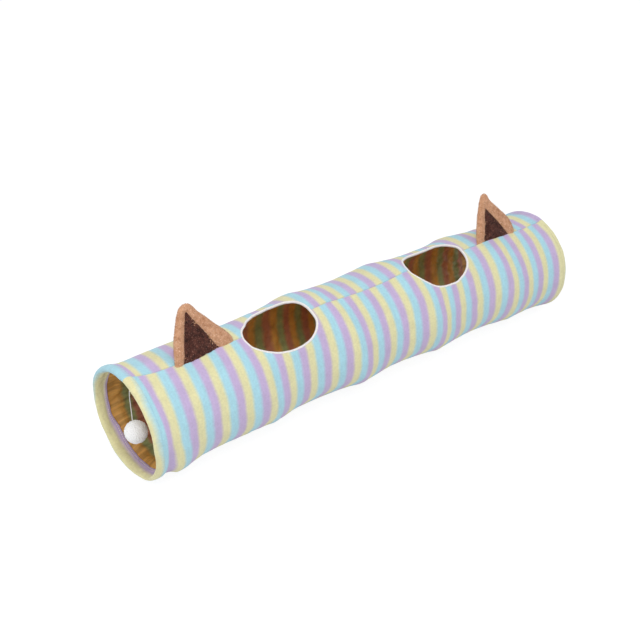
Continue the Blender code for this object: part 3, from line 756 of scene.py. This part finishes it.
def inside_outline(points, outline):
    """Whether each point lies inside an outline."""
    crossings = np.zeros(len(points), dtype=bool)
    closed = np.concatenate([outline, outline[:1]])
    for first, second in zip(closed, closed[1:]):
        between = (first[1] > points[:, 1]) != (second[1] > points[:, 1])
        rise = second[1] - first[1] if second[1] != first[1] else 1.0
        reach = first[0] + (second[0] - first[0]) * (points[:, 1] - first[1]) / rise
        crossings ^= between & (points[:, 0] < reach)
    return crossings


def inset(outline, middle, share):
    return middle + (outline - middle) * share


def ear_middle(outline):
    return np.array([-0.006, 0.36 * outline[:, 1].max()])


def round_table(table, angle, column=1):
    """A table's value at an angle, where the first column is in degrees from the top."""
    return between_rows(table, np.degrees(angle) % 360, column)


def ear_layer(name, which, outline, heights, seed, fuzz):
    """A closed layer of the ear over its outline, between a front and a back height."""
    root = np.array(EAR_PLACES[which])
    middle = ear_middle(outline)
    closed = np.concatenate([outline, outline[:1]])
    steps = np.linspace(0, 1, 12, endpoint=False)[:, None]
    sides = [start + (end - start) * steps for start, end in zip(closed, closed[1:])]
    dense = np.concatenate(sides) - middle
    polar = np.arctan2(dense[:, 1], dense[:, 0])
    order = np.argsort(polar)
    count = 300
    turns = -math.pi + np.arange(count) * TAU / count
    reach = np.interp(turns, polar[order], np.linalg.norm(dense, axis=1)[order], period=TAU)
    ways = np.stack([np.cos(turns), np.sin(turns)], axis=1)
    shares = 1 - (1 - np.linspace(0, 1, 57)[1:]) ** 1.4
    flat = np.concatenate([middle[None], *(middle + share * reach[:, None] * ways for share in shares)])
    sheets = []
    for side, height_at in zip((-1, 1), heights):
        height = height_at(flat)
        local = np.stack([flat[:, 0], side * height, flat[:, 1]], axis=1)
        rough = 0.55 * bumps(local, 0.0045, seed) + 0.45 * bumps(local, 0.0022, seed + 2)
        rough = fuzz * (rough + 0.8 * bumps(local, 0.016, seed + 1))
        place = local[:, 0] + root[0] + 0.5 * TUNNEL_LENGTH
        sink = -dip(place, np.full(len(flat), SEAM_ANGLE)) / 0.843 + side * height * 0.55
        local[:, 1] += side * rough * smooth(0, 0.003, height)
        local[:, 2] += sink * (1 - smooth(0.0, 0.045, flat[:, 1]))
        sheets.append(local)
    total = len(flat)
    edge = total - count
    around = [(k, (k + 1) % count) for k in range(count)]
    front = [(0, 1 + k, 1 + after) for k, after in around]
    front += [tuple(face)[::-1] for face in grid_faces(len(shares), count) + 1]
    back = [tuple(total + k for k in face[::-1]) for face in front]
    rim = [(edge + k, total + edge + k, total + edge + after, edge + after) for k, after in around]
    faces = front + back + rim
    local = np.concatenate(sheets)
    both = np.concatenate([flat, flat])
    uvs = np.concatenate([both[list(face)] for face in faces])
    if fuzz:
        local, faces, uvs = with_fibres(local, faces, uvs, flat, outline, seed)
    turn = np.array(Matrix.Rotation(-EAR_LEAN, 3, "X"))
    return mesh_object(name, local @ turn.T + root, faces, uvs)


def with_fibres(local, faces, uvs, flat, outline, seed):
    """Adds short fibres that stand off a layer's faces, leaning this way and that like brushed pile."""
    random = np.random.default_rng(seed)
    inside = np.flatnonzero(flat[:, 1] > -0.001)
    outwards = flat - ear_middle(outline)
    size = np.linalg.norm(outwards, axis=1)
    chance = size[inside] / size[inside].sum()
    corners = np.array(((0, 1, 2), (1, 3, 2), (3, 0, 2), (0, 3, 1))) * FIBRE_COUNT
    points = [local]
    uvs = [uvs]
    base = len(local)
    for side, offset in ((-1, 0), (1, len(flat))):
        roots = random.choice(inside, FIBRE_COUNT, p=chance)
        spots = local[roots + offset]
        reach = random.uniform(0.6, 1.0, FIBRE_COUNT)[:, None] * FIBRE_LENGTH
        rim = smooth(0.009, 0.0, distance_to_sides(flat[roots], outline))
        away = outwards[roots] / np.maximum(size[roots], 1e-6)[:, None]
        ways = random.normal(0, 0.35, (FIBRE_COUNT, 3))
        for axis, number in ((0, 5), (2, 6)):
            ways[:, axis] += 0.7 * bumps(spots, 0.014, seed + number) + 1.5 * rim * away[:, axis // 2]
        ways[:, 1] = side * (0.8 - 0.4 * rim)
        ways = unit(ways)
        across = unit(np.cross(ways, random.normal(0, 1, (FIBRE_COUNT, 3))))
        spots = spots - ways * 0.0004
        points += [spots - across * FIBRE_WIDTH, spots + across * FIBRE_WIDTH]
        points += [spots + ways * reach, spots + np.cross(ways, across) * FIBRE_WIDTH]
        numbers = base + np.arange(FIBRE_COUNT)[:, None, None] + corners
        faces += [tuple(face) for face in numbers.reshape(-1, 3)]
        uvs.append(np.repeat(flat[roots], corners.size, axis=0))
        base += 4 * FIBRE_COUNT
    return np.concatenate(points), faces, np.concatenate(uvs)


def pinched(flat):
    """How full the ear is: thin where the seam grips it, full above."""
    return 0.45 + 0.55 * smooth(-0.002, 0.026, flat[:, 1])


def make_ear(which):
    """An ear's puffed plush shell with a plush face let into its front, and the flat core between them."""
    shell = round_outline(EAR_OUTLINES[which], 0.006)
    face = round_outline(FACE_OUTLINES[which], 0.008)
    half = 0.5 * EAR_THICKNESS

    def shell_front(flat):
        outer = distance_to_sides(flat, shell)
        inner = np.where(inside_outline(flat, face), 0, distance_to_sides(flat, face))
        share = outer / np.maximum(outer + inner, 1e-6)
        roll = half * np.clip(1 - (2 * share - 1) ** 2, 0, 1) ** 0.42
        return np.maximum(roll, 0.0024 * smooth(0, 0.3, share)) * pinched(flat)

    def shell_back(flat):
        distance = distance_to_sides(flat, shell)
        rise = 1 - np.clip(1 - distance / 0.014, 0, 1) ** 2
        return half * np.sqrt(rise) * (0.86 + 0.14 * smooth(0.05, 0.01, distance)) * pinched(flat)

    def face_front(flat):
        return (0.0030 + 0.0022 * smooth(0, 0.020, distance_to_sides(flat, face))) * pinched(flat)

    def face_back(flat):
        return -0.0021 * pinched(flat)

    def core_side(flat):
        return np.full(len(flat), 0.0009)

    seed = 31 if which == "near" else 41
    heart = np.array([-0.01, 0.03])
    core_outline = inset(shell, heart, 0.82)
    face_outline = inset(face, heart, 1.03)
    return (
        ear_layer(f"{which}_ear_plush", which, shell, (shell_front, shell_back), seed, 0.0007),
        ear_layer(f"{which}_ear_face", which, face_outline, (face_front, face_back), seed + 4, 0.0006),
        ear_layer(f"{which}_ear_core", which, core_outline, (core_side, core_side), seed + 7, 0.0),
    )


def string_points():
    """The string's line from the knot to the ball, through the part's own route."""
    route = np.array(STRING_ROUTE)
    arcs = arc_lengths(route)
    wanted = np.linspace(0, arcs[-1], 170)
    soft = np.stack([np.interp(wanted, arcs, column) for column in route.T], axis=1)
    for _ in range(60):
        soft[1:-1] = 0.25 * soft[:-2] + 0.5 * soft[1:-1] + 0.25 * soft[2:]
    return soft + np.array(TACK_PLACE) - np.array((0, 0, STRING_DROP))


def make_knot():
    """The knot that ties the string to the hem: a short thread wound over itself."""
    turn = np.linspace(0, TAU, 97)[:-1]
    radius = 0.0013 + 0.0006 * np.cos(3 * turn)
    knot = [radius * np.cos(2 * turn), radius * np.sin(2 * turn), 0.0009 * np.sin(3 * turn)]
    return tube("string_knot", np.stack(knot, axis=1) + np.array(TACK_PLACE), 0.0007, 8, closed=True)


def pompom_strands(centre, radius):
    """Short bent strands all round a middle, as points and faces."""
    count = 5200
    random = np.random.default_rng(5)
    number = np.arange(count) + 0.5
    height = 1 - 2 * number / count
    turn = math.pi * (1 + 5**0.5) * number
    ring = np.sqrt(1 - height**2)
    ways = np.stack([ring * np.cos(turn), ring * np.sin(turn), height], axis=1)
    ways = unit(ways + random.normal(0, 0.05, ways.shape))
    bend = random.normal(0, 0.07, ways.shape) * radius
    lengths = radius * (0.970 + 0.018 * random.standard_normal(count).clip(-2, 1.5))[:, None]
    across = unit(np.cross(ways, (0.2, 0.5, 0.8)))
    other = np.cross(ways, across)
    points = []
    # Rings along a strand: (share of its length, half its thickness)
    for share, thick in ((0.88, 0.0015), (0.94, 0.0015), (0.985, 0.0012)):
        middles = centre + lengths * share * ways + bend * (share - 0.8) ** 2 * 6
        points += [middles + thick * (x * across + y * other) for x, y in ((1, 0), (0, 1), (-1, 0), (0, -1))]
    points.append(centre + lengths * ways + bend * 0.24)
    tip = len(points) - 1
    strand = tube_faces(3, 4)[:-1] + [(tip - 4 + k, tip - 4 + (k + 1) % 4, tip) for k in range(4)]
    return np.stack(points, axis=1).reshape(-1, 3), repeated(strand, count, len(points))


def make_pompom():
    """A ball of soft yarn: a lumpy core under many short bent strands."""
    radius = 0.5 * BALL_DIAMETER
    centre = 0.5 * np.add(*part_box("hanging_ball"))
    points, faces = pompom_strands(centre, radius)
    rows = 28
    columns = 48
    turns = np.arange(columns) * TAU / columns
    polar, turn = np.meshgrid(np.linspace(0, math.pi, rows), turns, indexing="ij")
    ball = np.stack([np.sin(polar) * np.cos(turn), np.sin(polar) * np.sin(turn), np.cos(polar)], axis=-1)
    ball = ball.reshape(-1, 3)
    core = centre + ball * radius * (0.945 + 0.010 * bumps(ball, 0.5, 51))[:, None]
    faces += [tuple(face) for face in grid_faces(rows, columns)[:, ::-1] + len(points)]
    return mesh_object("pompom", np.concatenate([points, core]), faces)


def new_material(name, roughness, sheen=0.0, metallic=0.0, specular=0.25):
    """A material with its shader's plain values set, its node tree and its shader."""
    material = bpy.data.materials.new(name)
    material.use_nodes = True
    tree = material.node_tree
    shader = tree.nodes["Principled BSDF"]
    shader.inputs["Roughness"].default_value = roughness
    shader.inputs["Sheen Weight"].default_value = sheen
    shader.inputs["Sheen Roughness"].default_value = 0.55
    shader.inputs["Metallic"].default_value = metallic
    shader.inputs["Specular IOR Level"].default_value = specular
    return material, tree, shader


def feed(tree, socket, value):
    """Links a socket to another node's output, or sets it to a plain value."""
    if isinstance(value, bpy.types.NodeSocket):
        tree.links.new(value, socket)
    else:
        socket.default_value = value


def add_node(tree, kind, *inputs, **values):
    """A node with its first inputs in order, and its settings and other inputs by name."""
    node = tree.nodes.new(kind)
    for key, value in values.items():
        if key in node.bl_rna.properties:
            setattr(node, key, value)
        else:
            feed(tree, node.inputs[key], value)
    for socket, value in zip(node.inputs, inputs):
        feed(tree, socket, value)
    return node


def cloth_vector(tree):
    return add_node(tree, "ShaderNodeUVMap", uv_map=UV_NAME).outputs["UV"]


def noise_value(tree, vector, cell, detail=2.0, rough=0.5):
    settings = {"Vector": vector, "Scale": 1 / cell, "Detail": detail, "Roughness": rough}
    return add_node(tree, "ShaderNodeTexNoise", **settings).outputs["Fac"]


def math_value(tree, operation, *values):
    return add_node(tree, "ShaderNodeMath", *values, operation=operation).outputs[0]


def weighted(tree, value, weight, other):
    """A value times a weight, added to another."""
    return math_value(tree, "ADD", other, math_value(tree, "MULTIPLY", value, weight))


def ramp(tree, value, *stops):
    node = add_node(tree, "ShaderNodeValToRGB", value)
    elements = node.color_ramp.elements
    while len(elements) < len(stops):
        elements.new(0.5)
    for element, (place, colour) in zip(elements, stops):
        element.position = place
        element.color = colour
    return node.outputs["Color"]


def grey(value):
    return (value, value, value, 1)


def mix_colours(tree, blend, share, first, second):
    settings = {"data_type": "RGBA", "blend_type": blend, "Factor": share, "A": first, "B": second}
    return add_node(tree, "ShaderNodeMix", **settings).outputs["Result"]


def finish_surface(tree, shader, colour, height, distance, strength):
    """Gives a shader its colour, and a relief from a height."""
    bump = add_node(tree, "ShaderNodeBump", Height=height, Strength=strength, Distance=distance)
    feed(tree, shader.inputs["Base Color"], colour)
    feed(tree, shader.inputs["Normal"], bump.outputs["Normal"])


def along_cloth(tree, vector):
    return add_node(tree, "ShaderNodeSeparateXYZ", Vector=vector).outputs["Y"]


def stripes(tree, vector, colours, edge):
    """Three stripes in turn along the cloth, with edges a pile's length soft."""
    stray = math_value(tree, "SUBTRACT", noise_value(tree, vector, 0.0035, 3.0), 0.5)
    wander = math_value(tree, "SUBTRACT", noise_value(tree, vector, 0.05, 1.0), 0.5)
    place = weighted(tree, stray, 0.0035, along_cloth(tree, vector))
    place = math_value(tree, "SUBTRACT", weighted(tree, wander, 0.003, place), PURPLE_START)
    share = math_value(tree, "FRACT", math_value(tree, "DIVIDE", place, STRIPE_PERIOD))
    half = 0.5 * edge / STRIPE_PERIOD
    between = tuple(0.5 * (first + last) for first, last in zip(colours[0], colours[-1]))
    stops = [(0.0, between)]
    for number, colour in enumerate(colours):
        stops += [(number / 3 + half, colour), ((number + 1) / 3 - half, colour)]
    return ramp(tree, share, *stops, (1.0, between))


def plush_material():
    material, tree, shader = new_material("striped_plush", 0.95, sheen=0.25)
    vector = cloth_vector(tree)
    colours = (linear(197, 177, 214), linear(228, 222, 172), linear(172, 217, 230))
    base = stripes(tree, vector, colours, 0.0075)
    tufts = noise_value(tree, vector, 0.0055, 4.0, 0.7)
    patches = noise_value(tree, vector, 0.025, 2.0)
    shade = weighted(tree, patches, 0.20, weighted(tree, tufts, 0.42, 0.68))
    tint = add_node(tree, "ShaderNodeCombineColor", shade, shade, shade).outputs["Color"]
    colour = mix_colours(tree, "MULTIPLY", 1.0, base, tint)
    height = weighted(tree, tufts, 1.3, noise_value(tree, vector, 0.0022, 3.0, 0.7))
    finish_surface(tree, shader, colour, height, 0.0007, 0.6)
    return material


def lining_material():
    """Thin crinkled cloth, with painted light in its middle where the sleeve would let light through, and
    painted shade in the creases of its gathers beside the mouths.
    """
    material, tree, shader = new_material("crinkle_lining", 0.5, specular=0.35)
    vector = cloth_vector(tree)
    colours = (linear(200, 136, 112), linear(226, 172, 92), linear(164, 174, 122))
    base = stripes(tree, vector, colours, 0.009)
    cloudy = noise_value(tree, vector, 0.02, 3.0)
    light = ramp(tree, cloudy, (0.3, grey(0.84)), (0.7, (1.10, 1.08, 1.04, 1)))
    # Painted shade: streaks of stretched noise darken the lining as if shade lay in the creases of its
    # gathers
    stretch = add_node(tree, "ShaderNodeVectorMath", vector, (1.0, 0.15, 1.0), operation="MULTIPLY")
    lie = noise_value(tree, stretch.outputs["Vector"], 0.009, 2.0)
    painted_fold_shade = ramp(tree, lie, (0.38, (0.72, 0.70, 0.68, 1)), (0.58, grey(1.06)))
    past_middle = math_value(tree, "SUBTRACT", along_cloth(tree, vector), 0.5 * TUNNEL_LENGTH)
    from_middle = math_value(tree, "ABSOLUTE", past_middle)
    # Painted light: the middle of the lining is brightened as if lit through the sleeve, and it is darker
    # towards the mouths
    glow = ramp(tree, from_middle, (0.40, (1.30, 1.34, 1.28, 1)), (0.54, grey(0.94)))
    # Where the painted crease shade is laid on: fully beside the mouths, hardly at all in the middle
    gathered = ramp(tree, from_middle, (0.43, grey(0.1)), (0.53, grey(1)))
    colour = mix_colours(tree, "MULTIPLY", 1.0, base, light)
    colour = mix_colours(tree, "MULTIPLY", gathered, colour, painted_fold_shade)
    colour = mix_colours(tree, "MULTIPLY", 1.0, colour, glow)
    sharp = add_node(tree, "ShaderNodeTexVoronoi", feature="DISTANCE_TO_EDGE", Vector=vector, Scale=140.0)
    edges = math_value(tree, "MINIMUM", sharp.outputs["Distance"], 0.25)
    height = math_value(tree, "ADD", edges, noise_value(tree, vector, 0.008, 3.0))
    finish_surface(tree, shader, colour, height, 0.0010, 0.5)
    return material


def tape_material():
    material, tree, shader = new_material("white_tape", 0.85, sheen=0.1)
    vector = cloth_vector(tree)
    worn = noise_value(tree, vector, 0.006, 3.0)
    tint = ramp(tree, worn, (0.3, linear(238, 232, 232)), (0.7, linear(252, 249, 247)))
    weave = add_node(tree, "ShaderNodeTexWave", Vector=vector, Scale=420.0, Distortion=0.6)
    weave.bands_direction = "X"
    finish_surface(tree, shader, tint, weave.outputs["Fac"], 0.0002, 0.5)
    return material


def ear_material(name, dark, light, fleck, flecks):
    """Plush whose pile lies this way and that, with lighter pile where it opens."""
    material, tree, shader = new_material(name, 0.95, sheen=0.08)
    vector = cloth_vector(tree)
    lie = noise_value(tree, vector, 0.009, 3.0, 0.65)
    base = ramp(tree, lie, (0.32, dark), (0.68, light))
    tips = noise_value(tree, vector, 0.0028, 2.0, 0.6)
    spots = ramp(tree, tips, (flecks, grey(0)), (flecks + 0.12, grey(1)))
    colour = mix_colours(tree, "MIX", spots, base, fleck)
    height = weighted(tree, lie, 1.6, noise_value(tree, vector, 0.0016, 3.0, 0.7))
    finish_surface(tree, shader, colour, height, 0.0009, 0.8)
    return material


def thread_material(name, dark, light, roughness=0.8, sheen=0.15):
    material, tree, shader = new_material(name, roughness, sheen=sheen)
    vector = add_node(tree, "ShaderNodeTexCoord").outputs["Object"]
    tint = ramp(tree, noise_value(tree, vector, 0.003, 3.0), (0.3, dark), (0.7, light))
    finish_surface(tree, shader, tint, noise_value(tree, vector, 0.0006), 0.0002, 0.6)
    return material


def steel_material():
    material, tree, shader = new_material("spring_wire_steel", 0.32, metallic=1.0)
    vector = add_node(tree, "ShaderNodeTexCoord").outputs["Object"]
    dull = noise_value(tree, vector, 0.01, 3.0)
    tint = ramp(tree, dull, (0.3, linear(150, 152, 156)), (0.7, linear(190, 192, 196)))
    finish_surface(tree, shader, tint, noise_value(tree, vector, 0.0015, 3.0), 0.0001, 0.4)
    return material


def dress(thing, material, body, slot_name, *nodes):
    """Gives a finished piece its material and its body, and hides the nodes that it stands for."""
    thing.data.materials.clear()
    thing.data.materials.append(material)
    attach(thing, body)
    if nodes:
        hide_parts(*nodes)
    return thing


def dress_folding(thing, material, slot_name, *nodes):
    """Dresses a piece that lies between the two hems, which keep their own width, carried by the near mouth,
    and gives it a mesh of its own.
    """
    dress(thing, material, "near_mouth", slot_name, *nodes)
    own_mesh(thing)
    return thing


def add_object(name, data, place, back):
    """A camera or lamp that looks away from the direction at its back."""
    thing = bpy.data.objects.new(name, data)
    thing.location = place
    thing.rotation_euler = Vector(back).to_track_quat("Z", "Y").to_euler()
    bpy.context.scene.collection.objects.link(thing)
    return thing


def make_camera():
    data = bpy.data.cameras.new("camera")
    data.lens = CAMERA_LENS
    data.sensor_width = 36
    data.sensor_fit = "HORIZONTAL"
    bpy.context.scene.camera = add_object("camera", data, CAMERA_PLACE, CAMERA_BACK)


def add_lamp(name, place, energy, colour):
    """A round soft lamp that shines at the tunnel's middle."""
    data = bpy.data.lights.new(name, "AREA")
    data.shape = "DISK"
    data.size = 2.6
    data.energy = energy
    data.color = colour
    add_object(name, data, place, Vector(place) - Vector((0, 0, 0.1)))


def seen_directly(tree):
    """1 where the camera, a gloss or a clear surface looks at the background, 0 where it only lights."""
    path = add_node(tree, "ShaderNodeLightPath").outputs
    seen = math_value(tree, "MAXIMUM", path["Is Camera Ray"], path["Is Glossy Ray"])
    return math_value(tree, "MAXIMUM", seen, path["Is Transmission Ray"])


def cleared_tree(owner):
    owner.use_nodes = True
    owner.node_tree.nodes.clear()
    return owner.node_tree


def mix_into(tree, output, share, first, second):
    """Mixes two shaders by a share into the tree's output."""
    mix = add_node(tree, "ShaderNodeMixShader", share, first.outputs[0], second.outputs[0])
    add_node(tree, output, Surface=mix.outputs[0])


def make_world():
    world = bpy.data.worlds.new("studio")
    bpy.context.scene.world = world
    tree = cleared_tree(world)
    lit = add_node(tree, "ShaderNodeBackground", Color=(0.95, 0.97, 1.0, 1), Strength=0.60)
    white = add_node(tree, "ShaderNodeBackground", Color=(1, 1, 1, 1), Strength=1.0)
    mix_into(tree, "ShaderNodeOutputWorld", seen_directly(tree), lit, white)


def make_floor():
    """A white floor that keeps a soft shadow: part of what the camera sees of it is plain white."""
    corners = np.array([(-1, -1), (1, -1), (1, 1), (-1, 1)]) * FLOOR_REACH
    floor = mesh_object("floor", np.column_stack([corners, np.full(4, -FLOOR_GAP)]), [(0, 1, 2, 3)])
    material = bpy.data.materials.new("studio_floor")
    tree = cleared_tree(material)
    matte = add_node(tree, "ShaderNodeBsdfDiffuse", Color=(0.9, 0.9, 0.9, 1))
    white = add_node(tree, "ShaderNodeEmission", Color=(1, 1, 1, 1), Strength=1.12)
    share = math_value(tree, "MULTIPLY", seen_directly(tree), 0.82)
    mix_into(tree, "ShaderNodeOutputMaterial", share, matte, white)
    floor.data.materials.append(material)


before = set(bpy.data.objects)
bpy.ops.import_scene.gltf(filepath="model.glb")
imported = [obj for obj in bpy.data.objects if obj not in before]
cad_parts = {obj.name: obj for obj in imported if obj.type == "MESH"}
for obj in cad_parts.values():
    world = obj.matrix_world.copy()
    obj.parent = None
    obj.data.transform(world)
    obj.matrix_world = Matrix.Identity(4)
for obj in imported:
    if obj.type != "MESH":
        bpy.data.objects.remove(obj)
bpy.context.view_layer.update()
bpy.context.scene.view_settings.view_transform = "Standard"
dip = DipField()

make_camera()
string_white = thread_material("string_white", linear(236, 234, 230), linear(250, 249, 246))
yarn = thread_material("pompom_yarn", linear(252, 252, 252), linear(255, 255, 255), roughness=0.9, sheen=0.8)
line = string_points()
string = tube("ball_cord", line, 0.5 * STRING_DIAMETER, 12, ply=0.004)
dress(string, string_white, "ball", "white_thread", "ball_string")
pompom = dress(make_pompom(), yarn, "ball", "white_pompom", "hanging_ball")
dress(make_knot(), string_white, "tack", "white_thread", "string_tack")

striped_plush = plush_material()
sleeve = wall_sheet("striped_sleeve", HEM_EDGE, SLEEVE_STEP, sleeve_depth, SLEEVE_THICKNESS)
dress_folding(sleeve, striped_plush, "plush_sleeve", *(f"sleeve_bay_{n}" for n in range(1, 6)))

# The lining starts in the yellow stripe, wherever the sleeve's stripes start
lining_start = PURPLE_START + 0.4 * STRIPE_PERIOD
lining = wall_sheet(
    "crinkled_lining", LINING_MARGIN, LINING_STEP, lining_depth, LINING_THICKNESS, lining_start
)
dress_folding(lining, lining_material(), "crinkle_lining", *(f"lining_bay_{n}" for n in range(1, 6)))

dress_folding(make_wire(), steel_material(), "spring_steel", "spring_wire")

stitch_thread = thread_material("stitch_thread", linear(226, 218, 200), linear(244, 240, 228))
tape_white = tape_material()
tan = (linear(190, 136, 100), linear(226, 176, 140), linear(246, 210, 182))
brown = (linear(42, 20, 16), linear(112, 64, 52), linear(184, 134, 116))
tan_plush = ear_material("tan_plush", *tan, 0.57)
brown_plush = ear_material("brown_plush", *brown, 0.60)
ear_felt = thread_material("ear_interlining", linear(200, 196, 188), linear(222, 219, 212))
crimp_steel = steel_material()
for which in ("near", "far"):
    mouth = f"{which}_mouth"
    dress(make_hem(which), striped_plush, mouth, "plush_hem", f"{which}_hem")
    dress(make_hem_stitching(which), stitch_thread, mouth, "white_thread", f"{which}_hem_stitching")
    dress_folding(make_tape(which), tape_white, "white_binding", f"{which}_peep_binding")
    dress_folding(make_tape_stitching(which), stitch_thread, "white_thread")
    shell, face, core = make_ear(which)
    ear = f"{which}_ear"
    dress(shell, tan_plush, ear, "tan_plush", f"{which}_ear_shell")
    dress(face, brown_plush, ear, "brown_plush", f"{which}_ear_facing")
    dress(core, ear_felt, ear, "ear_interlining", f"{which}_ear_interlining")
    for piece in (shell, face, core):
        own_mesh(piece)
    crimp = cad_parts[f"{which}_crimp"]
    crimp.data.materials.clear()
    crimp.data.materials.append(crimp_steel)

make_floor()
make_world()
add_lamp("key", (-1.7, -1.1, 3.1), 60, (1.0, 0.99, 0.97))
add_lamp("fill", (1.8, -2.4, 1.9), 10, (0.97, 0.98, 1.0))
